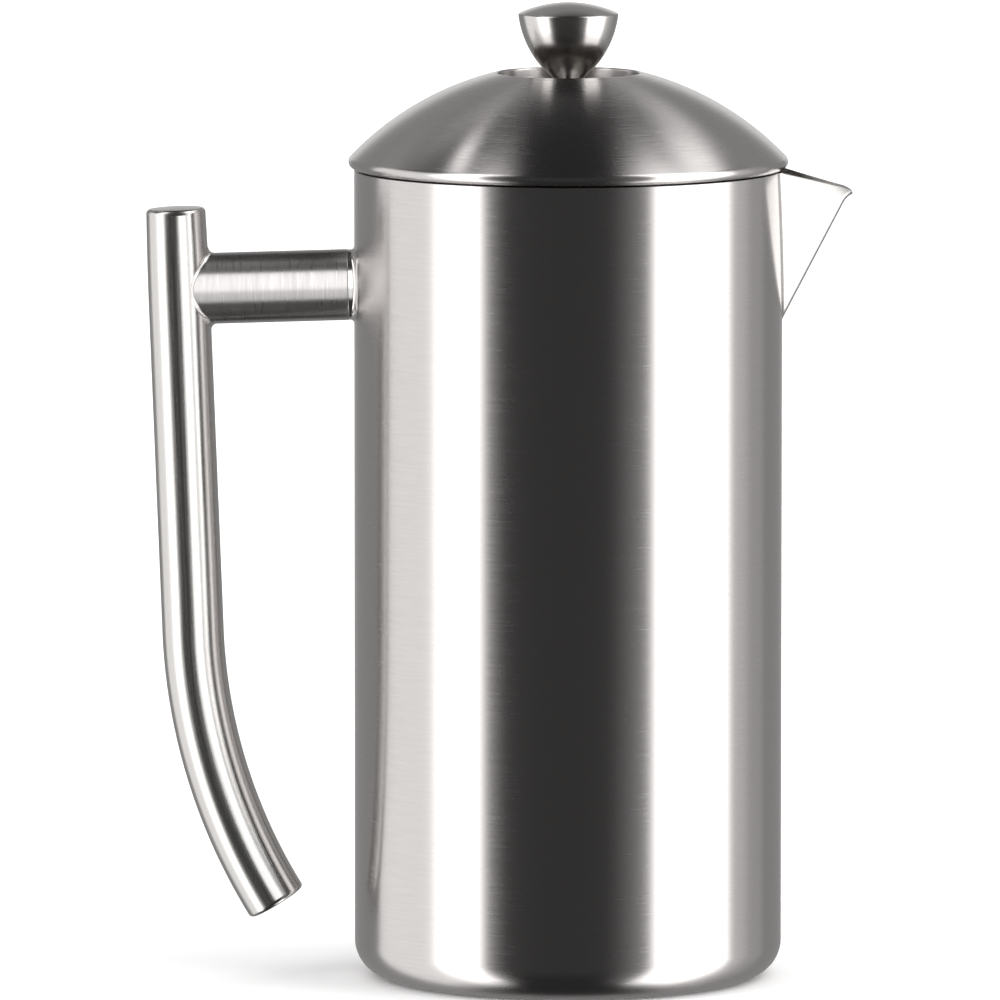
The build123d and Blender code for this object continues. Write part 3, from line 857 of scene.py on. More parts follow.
class PRESS_OT_spout(bpy.types.Operator):
    """Build the folded V spout and its dressed weld"""

    bl_idname = "press.spout"
    bl_label = "Spout"

    def trim(self, bm, point, slope, fill=False):
        """Cuts away everything above a plane that falls towards the tip."""
        bmesh.ops.bisect_plane(
            bm,
            geom=bm.verts[:] + bm.edges[:] + bm.faces[:],
            dist=1e-7,
            plane_co=point,
            plane_no=(sin(slope), 0, cos(slope)),
            clear_outer=True,
        )
        if fill:
            rim = [e for e in bm.edges if e.is_boundary]
            bmesh.ops.holes_fill(bm, edges=rim)

    def execute(self, context):
        settings = context.scene.french_press
        carafe, spout, tints = settings.carafe, settings.spout, settings.steel
        below, sheet_legs, weld_legs = 12 * MM, 36 * MM, 26 * MM
        bm = spout_sheet(spout, 0.0, below, sheet_legs)
        corner_x = carafe.radius - carafe.wall
        nose = Vector((spout.nose, 0, carafe.height - (spout.nose - corner_x) * tan(spout.slope)))
        self.trim(bm, (0, 0, carafe.height), 0.0)
        self.trim(bm, nose, spout.slope)
        middle = nose - Vector((sin(spout.slope), 0, cos(spout.slope))) * spout.dip_radius
        steps = 12
        for k in range(1, steps + 1):
            fall = spout.slope + spout.dip * k / steps
            out = Vector((sin(fall), 0, cos(fall)))
            self.trim(bm, middle + out * spout.dip_radius, fall)
        bmesh.ops.recalc_face_normals(bm, faces=bm.faces[:])
        outermost = max(bm.faces, key=lambda f: f.calc_center_median().x)
        if outermost.normal.x < 0:
            bmesh.ops.reverse_faces(bm, faces=bm.faces[:])
        sheet = make_object(bm, "pouring_spout")
        wall = sheet.modifiers.new("wall", "SOLIDIFY")
        wall.thickness = carafe.wall
        wall.offset = -1.0
        wall.use_even_offset = True
        lip = sheet.modifiers.new("lip", "BEVEL")
        lip.width = spout.lip
        lip.segments = 3
        lip.limit_method = "ANGLE"
        lip.angle_limit = radians(60)
        apply_modifiers(sheet)
        inner = carafe.radius - carafe.wall - carafe.gap - carafe.liner_wall
        above = carafe.height * 1.2
        mouth = [(0, 0), (inner, 0), (inner, above), (0, above)]
        cutter = make_object(turned(mouth), "mouth_tool")
        cut(sheet, cutter)
        discard(cutter)
        finish = satin_spout(tints.satin)
        dress(sheet, "carafe", finish, ["spout"])
        rows, run = spout_rows(spout, weld_legs, 40)
        bar = (Vector((0, 0, 0)), Vector((0, 0, 1)), carafe.radius)
        bead = weld_bead(rows, run, bar, spout.weld, 1, False, WELD_SINK)
        self.trim(bead, (0, 0, carafe.height - CLEARANCE), 0.0, fill=True)
        weld = make_object(bead, "spout_weld")
        dress(weld, "carafe", finish)
        return {"FINISHED"}


# ---- handle ----
def grip_frame(handle, distance):
    """The frame at a distance along the grip's centre line: Z runs down the tube, X away from the carafe."""
    top = Matrix.Translation((-handle.top_reach, 0, handle.top_height)) @ Matrix.Rotation(
        pi - handle.lean, 4, "Y"
    )
    if distance <= handle.straight:
        return top @ Matrix.Translation((0, 0, distance))
    knee = top @ Matrix.Translation((0, 0, handle.straight))
    turn = (distance - handle.straight) / handle.bend_radius
    centre = Matrix.Translation((-handle.bend_radius, 0, 0))
    return knee @ centre @ Matrix.Rotation(-turn, 4, "Y") @ centre.inverted()


def arm_frame(handle, carafe_radius, distance):
    """The frame at a distance along the arm from the carafe's wall: Z runs out to the grip, X up."""
    out = Matrix.Rotation(-pi / 2 - handle.arm_slope, 4, "Y")
    return Matrix.Translation((-carafe_radius, 0, handle.arm_z)) @ out @ Matrix.Translation((0, 0, distance))


def oval_rows(place, half_height, half_depth, steps):
    """Points and outward normals round an oval section: its height is along X, its depth along Y."""
    turn = place.to_3x3()
    rows = []
    for k in range(steps):
        a = tau * k / steps
        point = Vector((half_height * cos(a), half_depth * sin(a), 0))
        normal = Vector((cos(a) / half_height, sin(a) / half_depth, 0)).normalized()
        rows.append((place @ point, turn @ normal))
    return rows


def bridged(sections):
    """A tube through closed sections of points, one after the other, left open at its ends."""
    bm = bmesh.new()
    loops = []
    for section in sections:
        ring = [bm.verts.new(point) for point in section]
        loops.append([bm.edges.new((v, w)) for v, w in zip(ring, ring[1:] + ring[:1])])
    for near, far in zip(loops, loops[1:]):
        bmesh.ops.bridge_loops(bm, edges=near + far)
    bmesh.ops.recalc_face_normals(bm, faces=bm.faces[:])
    return bm


def thicken(made, thickness):
    """Gives an open tube its wall, inwards from its outer face."""
    wall = made.modifiers.new("wall", "SOLIDIFY")
    wall.thickness = thickness
    wall.offset = -1.0
    wall.use_even_offset = True
    apply_modifiers(made)


class PRESS_OT_grip(bpy.types.Operator):
    """Build the bent tube grip and the two plugs that close it"""

    bl_idname = "press.grip"
    bl_label = "Grip"

    def tube(self, handle):
        """The grip's outer face, with its own attribute for lines along the tube."""
        total = handle.straight + handle.bend_radius * handle.bend
        straight_rows, bend_rows = 24, 64
        distances = [handle.straight * k / straight_rows for k in range(straight_rows)]
        distances += [
            handle.straight + (total - handle.straight) * k / bend_rows for k in range(bend_rows + 1)
        ]
        steps, taper = 128, 24 * MM
        bm = bmesh.new()
        along = bm.verts.layers.float_vector.new("along")
        loops = []
        for distance in distances:
            near_top = max(0.0, 1.0 - distance / taper)
            radius = handle.grip - handle.neck * near_top * near_top
            ring = bmesh.ops.create_circle(bm, segments=steps, radius=radius)["verts"]
            for vert in ring:
                vert[along] = vert.co + Vector((0, 0, distance))
            bmesh.ops.transform(bm, matrix=grip_frame(handle, distance), verts=ring)
            loops.append(list({edge for vert in ring for edge in vert.link_edges}))
        for near, far in zip(loops, loops[1:]):
            bmesh.ops.bridge_loops(bm, edges=near + far)
        bmesh.ops.recalc_face_normals(bm, faces=bm.faces[:])
        return bm

    def plug(self, handle, place, radius, edge):
        """A crowned plug whose head covers the tube's end."""
        spigot, spigot_length = radius - handle.wall - CLEARANCE, 3 * MM
        crown = (radius**2 + handle.crown**2) / (2 * handle.crown)
        centre = handle.cap + handle.crown - crown
        rim_angle = atan2(handle.cap - centre, radius)
        top = arc((0, centre), crown, rim_angle, pi / 2, 12)
        outline = rounded(
            [(0, -spigot_length), (spigot, -spigot_length), (spigot, 0), (radius, 0), (*top[0], edge)]
            + top[1:],
            8,
        )
        bm = turned(outline, 128)
        bmesh.ops.transform(bm, matrix=place, verts=bm.verts[:])
        return bm

    def execute(self, context):
        settings = context.scene.french_press
        handle, tints = settings.handle, settings.steel
        grip = make_object(self.tube(handle), "handle_grip_tube")
        thicken(grip, handle.wall)
        dress(grip, "carafe", satin_grip(tints.satin), ["handle_grip"])
        total = handle.straight + handle.bend_radius * handle.bend
        up = grip_frame(handle, 0) @ Matrix.Rotation(pi, 4, "Y")
        down = grip_frame(handle, total)
        finish = satin_cap(tints.satin)
        top = make_object(
            self.plug(handle, up, handle.grip - handle.neck, handle.top_round), "grip_top_plug"
        )
        dress(top, "carafe", finish, ["grip_top_cap"])
        end = make_object(self.plug(handle, down, handle.grip, handle.end_round), "grip_end_plug")
        dress(end, "carafe", finish, ["grip_end_cap"])
        return {"FINISHED"}


class PRESS_OT_arm(bpy.types.Operator):
    """Build the oval arm, its weld ring at the shell and its weld at the grip"""

    bl_idname = "press.arm"
    bl_label = "Arm"

    def execute(self, context):
        settings = context.scene.french_press
        handle, carafe, tints = settings.handle, settings.carafe, settings.steel
        steps, end_steps, fillet_steps = SMALL_ROUND, 6, 8
        wall = arm_frame(handle, carafe.radius, 0)
        out = wall.to_3x3() @ Vector((0, 0, 1))
        grip_axis = grip_frame(handle, 0)
        bar_point = grip_axis.to_translation()
        bar_axis = grip_axis.to_3x3() @ Vector((0, 0, 1))
        # The arm: its end by the shell is rounded, the other is coped halfway into the grip's wall.
        sections = []
        for k in range(end_steps + 1):
            a = pi / 2 * k / end_steps
            shrink = handle.arm_round * (1 - sin(a))
            place = arm_frame(handle, carafe.radius, handle.arm_end + handle.arm_round * (1 - cos(a)))
            rows = oval_rows(place, handle.arm_height - shrink, handle.arm_depth - shrink, steps)
            sections.append([p for p, _ in rows])
        rows = oval_rows(wall, handle.arm_height, handle.arm_depth, steps)
        reach = handle.top_reach - carafe.radius - handle.grip
        for share in (0.25, 0.5, 0.75):
            sections.append([p + out * reach * share for p, _ in rows])
        coped = handle.grip - handle.wall / 2
        ends = [ball_seat(p, n, out, bar_point, bar_axis, coped, 0.0, -1)[1] for p, n in rows]
        sections.append(ends)
        arm = make_object(bridged(sections), "brushed_handle_arm")
        thicken(arm, handle.wall)
        dress(arm, "carafe", brushed_round_arm(tints.brushed), ["handle_arm"])
        # The weld at the grip.
        bar = (bar_point, bar_axis, handle.grip)
        bead = weld_bead(rows, out, bar, handle.grip_weld, -1, True, WELD_SINK)
        weld = make_object(bead, "grip_weld")
        dress(weld, "carafe", satin_cap(tints.satin))
        # The weld ring at the shell: a short oval neck that fillets into the shell.
        height, depth = handle.arm_height - handle.collar_step, handle.arm_depth - handle.collar_step
        rows = oval_rows(wall, height, depth, steps)
        shell = (Vector((0, 0, 0)), Vector((0, 0, 1)), carafe.radius)
        sections = [[p + out * (handle.arm_end + handle.arm_round) for p, _ in rows]]
        touches = [ball_seat(p, n, -out, *shell, handle.wall_weld, -1) for p, n in rows]
        for k in range(fillet_steps + 1):
            section = []
            for centre, first, last in touches:
                a, b = first - centre, last - centre
                section.append(centre + a.slerp(b, k / fillet_steps) * handle.wall_weld)
            sections.append(section)
        sunk = []
        for _, _, last in touches:
            inward = Vector((last.x, last.y, 0)).normalized()
            sunk.append(last - inward * carafe.wall / 2)
        sections.append(sunk)
        ring = make_object(bridged(sections), "shell_weld_ring")
        thicken(ring, handle.wall / 3)
        dress(ring, "carafe", polished_weld(tints.bright), ["arm_collar"])
        return {"FINISHED"}


# ---- lid ----
def dome_centre(carafe, lid):
    """The middle of the rolled edge's section, and the height of the dome's centre."""
    roll = (lid.radius - lid.roll, carafe.height + lid.seam + lid.roll)
    return roll, roll[1] - sqrt((lid.dome - lid.roll) ** 2 - roll[0] ** 2)


class PRESS_OT_lid(bpy.types.Operator):
    """Build the lid: dome with rolled edge, well, skirt, underplate and rod guide"""

    bl_idname = "press.lid"
    bl_label = "Lid"

    def dome_outline(self, carafe, lid):
        """The dome's sheet, from the well's lip over the rolled edge to the hem and back inside."""
        roll, centre_z = dome_centre(carafe, lid)
        meet = atan2(roll[1] - centre_z, roll[0])
        inside, inner_lip = lid.dome - lid.sheet, lid.well + lid.sheet
        centre = (0, centre_z)
        lip_low = centre_z + sqrt(lid.dome**2 - lid.well**2) - lid.well_lip
        lip_angle = atan2(sqrt(lid.dome**2 - lid.well**2), lid.well)
        inner_angle = atan2(sqrt(inside**2 - inner_lip**2), inner_lip)
        outer = arc(centre, lid.dome, lip_angle, meet, 30)
        edge = arc(roll, lid.roll, meet, -pi / 2, 18)
        edge_in = arc(roll, lid.roll - lid.sheet, -pi / 2, meet, 10)
        inner = arc(centre, inside, meet, inner_angle, 20)
        hem_low = roll[1] - lid.roll
        return rounded(
            [(lid.well, lip_low), (*outer[0], lid.lip_round)]
            + outer[1:]
            + edge[1:]
            + [(lid.hem, hem_low), (lid.hem, hem_low + lid.sheet)]
            + edge_in[:-1]
            + inner
            + [(inner_lip, lip_low)]
        )

    def execute(self, context):
        settings = context.scene.french_press
        carafe, lid, tints = settings.carafe, settings.lid, settings.steel
        roll, centre_z = dome_centre(carafe, lid)
        lip_top = centre_z + sqrt(lid.dome**2 - lid.well**2)
        lip_low, well_floor = lip_top - lid.well_lip, lip_top - lid.well_depth
        # The well and the skirt take the darker well colour, which is painted shade for the recess under the
        # lid.
        brushed, satin = brushed_round_lid(tints.brushed), satin_well_painted_shade(tints.well)
        deburred, eased, bend = 0.3 * MM, 0.5 * MM, 0.7 * MM
        dome = make_object(turned(self.dome_outline(carafe, lid)), "brushed_lid_dome")
        dress(dome, "lid", brushed, ["lid_dome"])
        floor_radius = lid.well - lid.well_taper
        well = rounded(
            [
                (lid.sleeve, well_floor),
                (floor_radius, well_floor, lid.well_corner),
                (lid.well, lip_low),
                (lid.well + lid.sheet, lip_low),
                (floor_radius + lid.sheet, well_floor - lid.sheet, lid.well_corner + lid.sheet),
                (lid.sleeve, well_floor - lid.sheet),
            ],
            10,
        )
        cup = make_object(turned(well, SMALL_ROUND), "satin_lid_well")
        dress(cup, "lid", satin, ["lid_well"])
        skirt_low, flange_top = (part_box("lid_skirt")[k].z for k in (0, 1))
        seat = flange_top - lid.skirt_wall
        inner = lid.skirt - lid.skirt_wall
        skirt = rounded(
            [
                (inner, skirt_low, deburred),
                (lid.skirt, skirt_low, deburred),
                (lid.skirt, seat),
                (lid.hem, seat),
                (lid.hem, flange_top),
                (inner, flange_top, bend),
            ]
        )
        ring = make_object(turned(skirt), "satin_lid_skirt")
        dress(ring, "lid", satin, ["lid_skirt"])
        plate_low, plate_top = (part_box("lid_underplate")[k].z for k in (0, 1))
        plate = [(lid.sleeve, plate_low), (inner, plate_low), (inner, plate_top), (lid.sleeve, plate_top)]
        under = make_object(turned(plate), "brushed_lid_underplate")
        dress(under, "lid", brushed, ["lid_underplate"])
        guide_low, guide_top = (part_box("rod_guide")[k].z for k in (0, 1))
        flange_height, guide_edge = 1.6 * MM, 0.4 * MM
        flange = well_floor + flange_height
        guide = rounded(
            [
                (lid.bore, guide_low, deburred),
                (lid.sleeve, guide_low, guide_edge),
                (lid.sleeve, well_floor),
                (lid.collar, well_floor),
                (lid.collar, flange, eased),
                (lid.sleeve, flange),
                (lid.sleeve, guide_top, eased),
                (lid.bore, guide_top, deburred),
            ]
        )
        sleeve = make_object(turned(guide, SMALL_ROUND), "turned_rod_guide")
        fitting = turned_steel(tints.plain)
        dress(sleeve, "lid", fitting, ["rod_guide"])
        refinish("guide_nut", fitting)
        return {"FINISHED"}


# ---- plunger ----
class PRESS_OT_plunger(bpy.types.Operator):
    """Build the knob, the rod with its threads and the collar"""

    bl_idname = "press.plunger"
    bl_label = "Plunger"

    def knob(self, p):
        """The knob's outline: bored for the rod, hollow-flanked, with a crowned top."""
        low_face, top = (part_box("plunger_knob")[k].z for k in (0, 1))
        bore_depth, thread_depth = 2 * MM, 13 * MM
        neck_edge, neck_fillet = 0.2 * MM, 2.5 * MM
        edge_z = top - p.crown
        crown = (p.edge**2 + p.crown**2) / (2 * p.crown)
        centre = top - crown
        flank = arc_through(
            (p.neck, low_face + p.neck_length), (p.belly, edge_z - p.belly_drop), (p.edge, edge_z), 28
        )
        dome = arc((0, centre), crown, atan2(edge_z - centre, p.edge), pi / 2, 20)
        counterbore, stud = p.rod + CLEARANCE, p.stud + CLEARANCE
        # The fillet at the neck takes the place of the flank's first points.
        return rounded(
            [
                (stud, low_face + bore_depth),
                (counterbore, low_face + bore_depth),
                (counterbore, low_face),
                (p.neck, low_face, neck_edge),
                (*flank[0], neck_fillet),
            ]
            + flank[3:-1]
            + [(*dome[0], p.edge_round)]
            + dome[1:]
            + [(0, low_face + thread_depth), (stud, low_face + thread_depth)]
        )

    def thread(self, p, low_face, high_face):
        """A helical ridge round the stud: a triangle turned with a rise, its root inside the core."""
        turns = floor((high_face - low_face) / p.pitch) - 1
        sunk, half_width = 0.1 * MM, p.pitch * 0.45
        root = p.stud - p.thread - sunk
        bm = bmesh.new()
        start = (high_face - low_face - turns * p.pitch) / 2 + low_face
        corners = ((root, start - half_width), (p.stud, start), (root, start + half_width))
        ring = [bm.verts.new((x, 0, z)) for x, z in corners]
        profile = bm.faces.new(ring)
        steps = 36
        bmesh.ops.spin(
            bm,
            geom=[profile],
            cent=(0, 0, 0),
            axis=(0, 0, 1),
            dvec=(0, 0, p.pitch / steps),
            angle=tau * turns,
            steps=steps * turns,
            use_merge=False,
        )
        bmesh.ops.recalc_face_normals(bm, faces=bm.faces[:])
        return bm

    def execute(self, context):
        settings = context.scene.french_press
        p, tints = settings.plunger, settings.steel
        knob = make_object(turned(self.knob(p), SMALL_ROUND * 2), "turned_knob")
        dress(knob, "plunger", satin_knob(tints.satin), ["plunger_knob"])
        rod_low, rod_high = (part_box("plunger_rod")[k].z for k in (0, 1))
        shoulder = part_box("rod_collar")[0].z
        seated, shoulder_edge, stud_edge = 1.9 * MM, 0.2 * MM, 0.5 * MM
        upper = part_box("plunger_knob")[0].z + seated
        core = p.stud - p.thread
        rod = rounded(
            [
                (0, rod_low),
                (core, rod_low, stud_edge),
                (core, shoulder),
                (p.rod, shoulder, shoulder_edge),
                (p.rod, (shoulder + upper) / 2),
                (p.rod, upper, shoulder_edge),
                (core, upper),
                (core, rod_high, stud_edge),
                (0, rod_high),
            ]
        )
        bar = make_object(turned(rod, SMALL_ROUND // 2), "polished_plunger_rod")
        finish = polished_rod(tints.bright)
        dress(bar, "plunger", finish, ["plunger_rod"])
        for name, low_face, high_face in (
            ("lower_thread", rod_low, shoulder),
            ("upper_thread", upper, rod_high),
        ):
            ridge = make_object(self.thread(p, low_face, high_face), name)
            dress(ridge, "plunger", finish)
        collar_low, collar_high = (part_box("rod_collar")[k].z for k in (0, 1))
        low_edge, high_edge = 0.2 * MM, 0.6 * MM
        collar = rounded(
            [
                (p.rod, collar_low),
                (p.collar, collar_low, low_edge),
                (p.collar, collar_high, high_edge),
                (p.rod, collar_high),
            ]
        )
        stop = make_object(turned(collar, SMALL_ROUND // 2), "turned_rod_collar")
        dress(stop, "plunger", turned_steel(tints.plain), ["rod_collar"])
        return {"FINISHED"}


# ---- filter ----
class PRESS_OT_filter(bpy.types.Operator):
    """Build the filter: garter spring and woven screens, with the plates and the hub of the frame"""

    bl_idname = "press.filter"
    bl_label = "Filter"

    def coil(self, sizes):
        """The garter spring's wire, as a closed helix round a ring."""
        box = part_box("edge_spring")
        middle = (box[0].z + box[1].z) / 2
        ring = box[1].y - sizes.envelope
        radius = sizes.envelope - sizes.wire
        coils = round(tau * ring / sizes.pitch)
        per_coil = 12
        curve = bpy.data.curves.new("coil", "CURVE")
        curve.dimensions = "3D"
        curve.bevel_depth = sizes.wire
        curve.bevel_resolution = 1
        spline = curve.splines.new("POLY")
        spline.points.add(coils * per_coil - 1)
        for k, point in enumerate(spline.points):
            around = tau * k / len(spline.points)
            wound = tau * k / per_coil
            out = ring + radius * cos(wound)
            point.co = (out * cos(around), out * sin(around), middle + radius * sin(wound), 1)
        spline.use_cyclic_u = True
        wire = bpy.data.objects.new("coil", curve)
        bpy.context.scene.collection.objects.link(wire)
        graph = bpy.context.evaluated_depsgraph_get()
        mesh = bpy.data.meshes.new_from_object(wire.evaluated_get(graph))
        bpy.data.objects.remove(wire)
        spring = bpy.data.objects.new("garter_spring", mesh)
        bpy.context.scene.collection.objects.link(spring)
        return spring

    def execute(self, context):
        settings = context.scene.french_press
        sizes, tints = settings.filter, settings.steel
        spring = self.coil(sizes)
        dress(spring, "filter_discs", spring_wire(tints.bright), ["edge_spring"], 60.0)
        coarse_low, coarse_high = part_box("coarse_screen")
        coarse = [
            (sizes.bore, coarse_low.z),
            (coarse_high.y, coarse_low.z),
            (coarse_high.y, coarse_high.z),
            (sizes.bore, coarse_high.z),
        ]
        backing = make_object(turned(coarse, ROUND // 2), "woven_coarse_screen")
        dress(backing, "filter_discs", woven_coarse(tints.mesh), ["coarse_screen"])
        fine_low, fine_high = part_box("fine_screen")
        inside, floor_top = sizes.radius - sizes.fine, fine_low.z + sizes.fine
        edge = sizes.fine / 2.2
        fine = rounded(
            [
                (sizes.bore, fine_low.z),
                (sizes.radius, fine_low.z, sizes.turn),
                (sizes.radius, fine_high.z, edge),
                (inside, fine_high.z, edge),
                (inside, floor_top, sizes.turn - sizes.fine),
                (sizes.bore, floor_top),
            ]
        )
        screen = make_object(turned(fine), "woven_fine_screen")
        dress(screen, "filter_discs", woven_fine(tints.mesh), ["fine_screen"])
        sheet = stamped_steel(tints.plain)
        for node in ("spring_plate", "cross_plate"):
            refinish(node, sheet)
        refinish("hub_nut", turned_steel(tints.plain))
        return {"FINISHED"}


# ---- stage ----
# What stands round the press. Directions are from the front, growing towards +X, and heights are
# above the horizon, all in degrees:
# (from, to, lowest, highest, soft edge across, soft edge up, brightness).
STUDIO_PANELS = (
    (-192, -163, -3, 18, 5, 7, 0.45),
    (-192, -124, -60, 50, 4, 7, 0.27),
    (-124, -77, -60, 28, 3, 8, 1.1),
    (-77, -48, -60, 66, 4, 7, 2.5),
    (-50, -39, -60, 50, 6, 7, 0.2),
    (-37, 30, -30, 30, 8, 8, 0.02),
    (32, 52, -60, 50, 12, 7, 0.2),
    (47, 97, -60, 66, 4, 7, 2.5),
    (97, 113, -60, 32, 5, 8, 0.62),
    (113, 130, -60, 32, 5, 8, 0.4),
    (130, 192, -60, 48, 6, 7, 0.27),
    (163, 192, -3, 18, 5, 7, 0.45),
    (-129, -104, 56.5, 61, 4, 2.5, 2.9),
    (-165, -134, 46, 54, 6, 4, 0.3),
    (108, 135, 44, 58, 5, 5, 1.7),
    (134, 160, 40, 50, 6, 5, 0.4),
)
STUDIO_DARK = 0.028
STUDIO_TINT = (1.0, 0.99, 0.985)

# The camera stands far in front and looks down a little; places in metres.
CAMERA_PLACE = (-0.0172, -3.4, 0.5)
CAMERA_DOWN = 6.3655
CAMERA_LENS = 487.43
CAMERA_SENSOR = 36.0
FLOOR_REACH = 12.0
FLOOR_SUN = 2.9
FLOOR_SUN_ANGLE = 120

# Lit cards close to the handle that only the handle mirrors, in millimetres and degrees:
# name: (pieces, middle, turn, width, height, brightness).
HANDLE_CARDS = {
    "grip_card": (("handle_grip_tube", "grip_weld"), (2, -230, 170), 24, 130, 340, 2.0),
    "arm_card": (("brushed_handle_arm", "shell_weld_ring"), (-73, -250, 255), 0, 180, 230, 1.9),
    "arm_low_card": (("brushed_handle_arm", "shell_weld_ring"), (-73, -250, 70), 0, 180, 140, 1.0),
}


class PRESS_OT_stage(bpy.types.Operator):
    """Set the stage: camera, plain floor, studio surroundings and a soft light for the floor"""

    bl_idname = "press.stage"
    bl_label = "Stage"

    def camera(self, context):
        """A long lens, so that the sides stay upright."""
        data = bpy.data.cameras.new("camera")
        data.sensor_width = CAMERA_SENSOR
        data.lens = CAMERA_LENS
        data.clip_end = 100.0
        camera = bpy.data.objects.new("camera", data)
        camera.location = CAMERA_PLACE
        camera.rotation_euler = (radians(90 - CAMERA_DOWN), 0, 0)
        context.scene.collection.objects.link(camera)
        context.scene.camera = camera

    def floor(self, tint):
        """A plain matt floor that the steel doesn't mirror."""
        bm = bmesh.new()
        bmesh.ops.create_grid(bm, x_segments=2, y_segments=2, size=FLOOR_REACH)
        plane = make_object(bm, "floor")
        material = bpy.data.materials.new("matt_white_floor")
        material.use_nodes = True
        shader = material.node_tree.nodes["Principled BSDF"]
        shader.inputs["Base Color"].default_value = (*tint, 1.0)
        shader.inputs["Roughness"].default_value = 0.9
        shader.inputs["Specular IOR Level"].default_value = 0.0
        plane.data.materials.append(material)
        plane.visible_glossy = False

    def share(self, tree, value, low_end, high_end, soft):
        """1 where the value lies between two ends, 0 outside, with soft edges."""
        rising = add_node(
            tree,
            "ShaderNodeMapRange",
            {"Value": value, "From Min": low_end - soft, "From Max": low_end + soft},
            interpolation_type="SMOOTHSTEP",
        )
        falling = add_node(
            tree,
            "ShaderNodeMapRange",
            {"Value": value, "From Min": high_end + soft, "From Max": high_end - soft},
            interpolation_type="SMOOTHSTEP",
        )
        both = {0: rising.outputs[0], 1: falling.outputs[0]}
        return add_node(tree, "ShaderNodeMath", both, operation="MULTIPLY").outputs[0]

    def world(self, context):
        """Surroundings of soft panels that only the steel sees; the camera sees white paper."""
        world = bpy.data.worlds.new("studio")
        context.scene.world = world
        world.use_nodes = True
        tree = world.node_tree
        tree.nodes.clear()
        direction = add_node(tree, "ShaderNodeTexCoord").outputs["Generated"]
        parts = add_node(tree, "ShaderNodeSeparateXYZ", {0: direction})
        front = add_node(tree, "ShaderNodeMath", {0: parts.outputs["Y"], 1: -1.0}, operation="MULTIPLY")
        bearing = add_node(
            tree, "ShaderNodeMath", {0: parts.outputs["X"], 1: front.outputs[0]}, operation="ARCTAN2"
        )
        rise = add_node(tree, "ShaderNodeMath", {0: parts.outputs["Z"]}, operation="ARCSINE")
        light = STUDIO_DARK
        for panel in STUDIO_PANELS:
            start, end, lowest, highest, side, top = (radians(value) for value in panel[:6])
            brightness = panel[6]
            across = self.share(tree, bearing.outputs[0], start, end, side)
            up = self.share(tree, rise.outputs[0], lowest, highest, top)
            inside = add_node(tree, "ShaderNodeMath", {0: across, 1: up}, operation="MULTIPLY")
            added = {0: inside.outputs[0], 1: brightness, 2: light}
            light = add_node(tree, "ShaderNodeMath", added, operation="MULTIPLY_ADD").outputs[0]
        studio = add_node(
            tree, "ShaderNodeBackground", {"Color": (*STUDIO_TINT, 1.0), "Strength": light}
        )
        paper = add_node(tree, "ShaderNodeBackground", {"Color": (1, 1, 1, 1), "Strength": 1.0})
        ray = add_node(tree, "ShaderNodeLightPath")
        chosen = add_node(
            tree,
            "ShaderNodeMixShader",
            {0: ray.outputs["Is Camera Ray"], 1: studio.outputs[0], 2: paper.outputs[0]},
        )
        add_node(tree, "ShaderNodeOutputWorld", {"Surface": chosen.outputs[0]})

    def floor_light(self, context):
        """A soft sun overhead that lights the matt floor and isn't mirrored in the steel."""
        data = bpy.data.lights.new("floor_light", "SUN")
        data.energy = FLOOR_SUN
        data.angle = radians(FLOOR_SUN_ANGLE)
        lamp = bpy.data.objects.new("floor_light", data)
        lamp.location = (0, 0, 2.0)
        lamp.visible_glossy = False
        context.scene.collection.objects.link(lamp)

    def execute(self, context):
        self.camera(context)
        self.floor(context.scene.french_press.steel.floor)
        self.world(context)
        self.floor_light(context)
        context.scene.view_settings.view_transform = "Standard"
        context.scene.view_settings.look = "None"
        return {"FINISHED"}


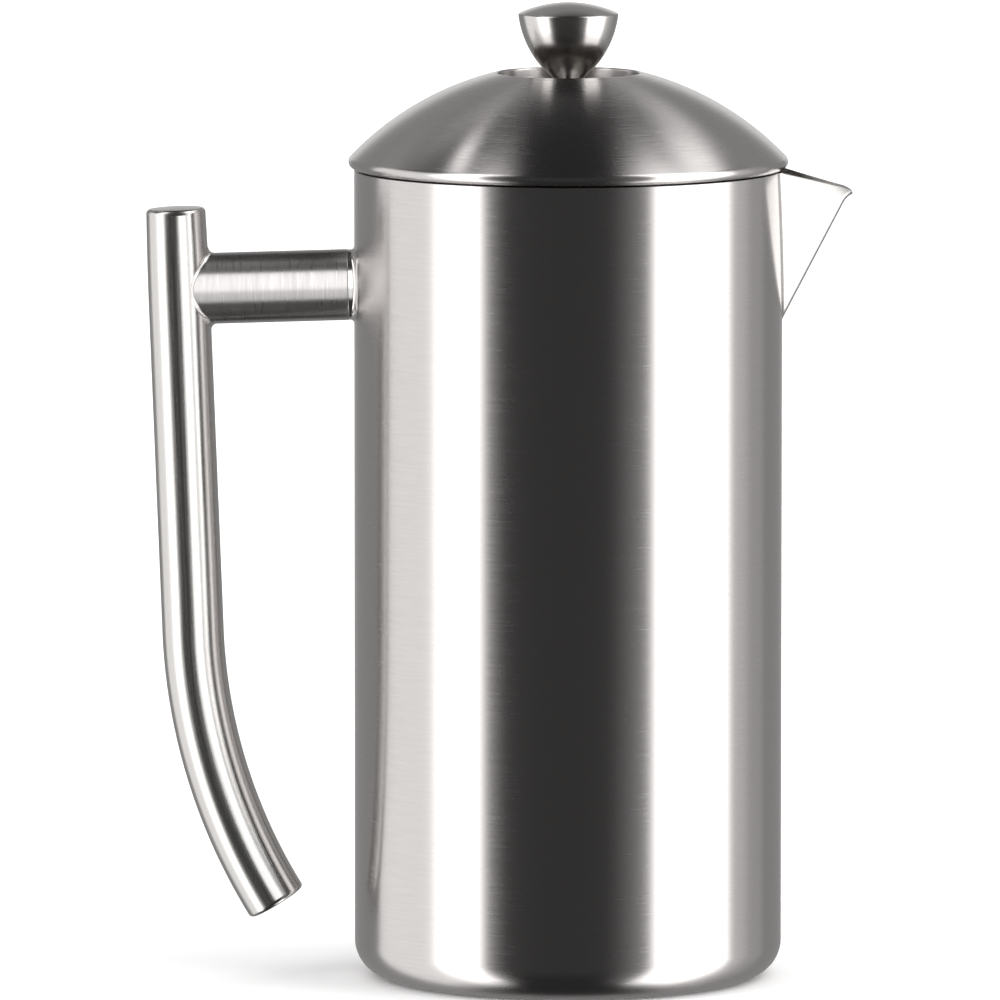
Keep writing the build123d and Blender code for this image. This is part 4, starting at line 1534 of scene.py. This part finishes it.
class PRESS_OT_cards(bpy.types.Operator):
    """Set the lit cards close to the handle"""

    bl_idname = "press.cards"
    bl_label = "Handle cards"

    def execute(self, context):
        for name, (pieces, middle, turn, width, height, brightness) in HANDLE_CARDS.items():
            data = bpy.data.lights.new(name, "AREA")
            data.shape = "RECTANGLE"
            data.size, data.size_y = width * MM, height * MM
            data.energy = brightness * pi * data.size * data.size_y
            card = bpy.data.objects.new(name, data)
            card.location = Vector(middle) * MM
            card.rotation_euler = (pi / 2, 0, radians(turn))
            card.visible_camera = False
            context.scene.collection.objects.link(card)
            mirrors = bpy.data.collections.new(name)
            for piece in pieces:
                mirrors.objects.link(bpy.data.objects[piece])
            card.light_linking.receiver_collection = mirrors
        return {"FINISHED"}


class PRESS_PT_panel(bpy.types.Panel):
    """The steps that build the press, and its sizes"""

    bl_idname = "PRESS_PT_panel"
    bl_label = "French press"
    bl_space_type = "VIEW_3D"
    bl_region_type = "UI"
    bl_category = "French press"

    def draw(self, context):
        for step in STEPS:
            self.layout.operator(step.bl_idname)
        settings = context.scene.french_press
        for group in settings.bl_rna.properties:
            if group.type == "POINTER" and group.identifier != "rna_type":
                box = self.layout.box()
                box.label(text=group.name)
                sizes = getattr(settings, group.identifier)
                for entry in sizes.bl_rna.properties:
                    if entry.identifier not in ("rna_type", "name"):
                        box.prop(sizes, entry.identifier)


GROUPS = (
    CarafeSizes,
    SpoutSizes,
    HandleSizes,
    LidSizes,
    PlungerSizes,
    FilterSizes,
    SteelColours,
    PressSettings,
)
STEPS = (
    PRESS_OT_stage,
    PRESS_OT_carafe,
    PRESS_OT_spout,
    PRESS_OT_grip,
    PRESS_OT_arm,
    PRESS_OT_lid,
    PRESS_OT_plunger,
    PRESS_OT_filter,
    PRESS_OT_cards,
)
CLASSES = (*GROUPS, *STEPS, PRESS_PT_panel)


def register():
    for cls in CLASSES:
        bpy.utils.register_class(cls)
    bpy.types.Scene.french_press = bpy.props.PointerProperty(
        name="French press", description="The French press's sizes and colours", type=PressSettings
    )


def unregister():
    del bpy.types.Scene.french_press
    for cls in reversed(CLASSES):
        bpy.utils.unregister_class(cls)


def main():
    """Registers the add-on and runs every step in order."""
    register()
    bpy.ops.press.stage()
    bpy.ops.press.carafe()
    bpy.ops.press.spout()
    bpy.ops.press.grip()
    bpy.ops.press.arm()
    bpy.ops.press.lid()
    bpy.ops.press.plunger()
    bpy.ops.press.filter()
    bpy.ops.press.cards()


if __name__ == "__main__":
    main()
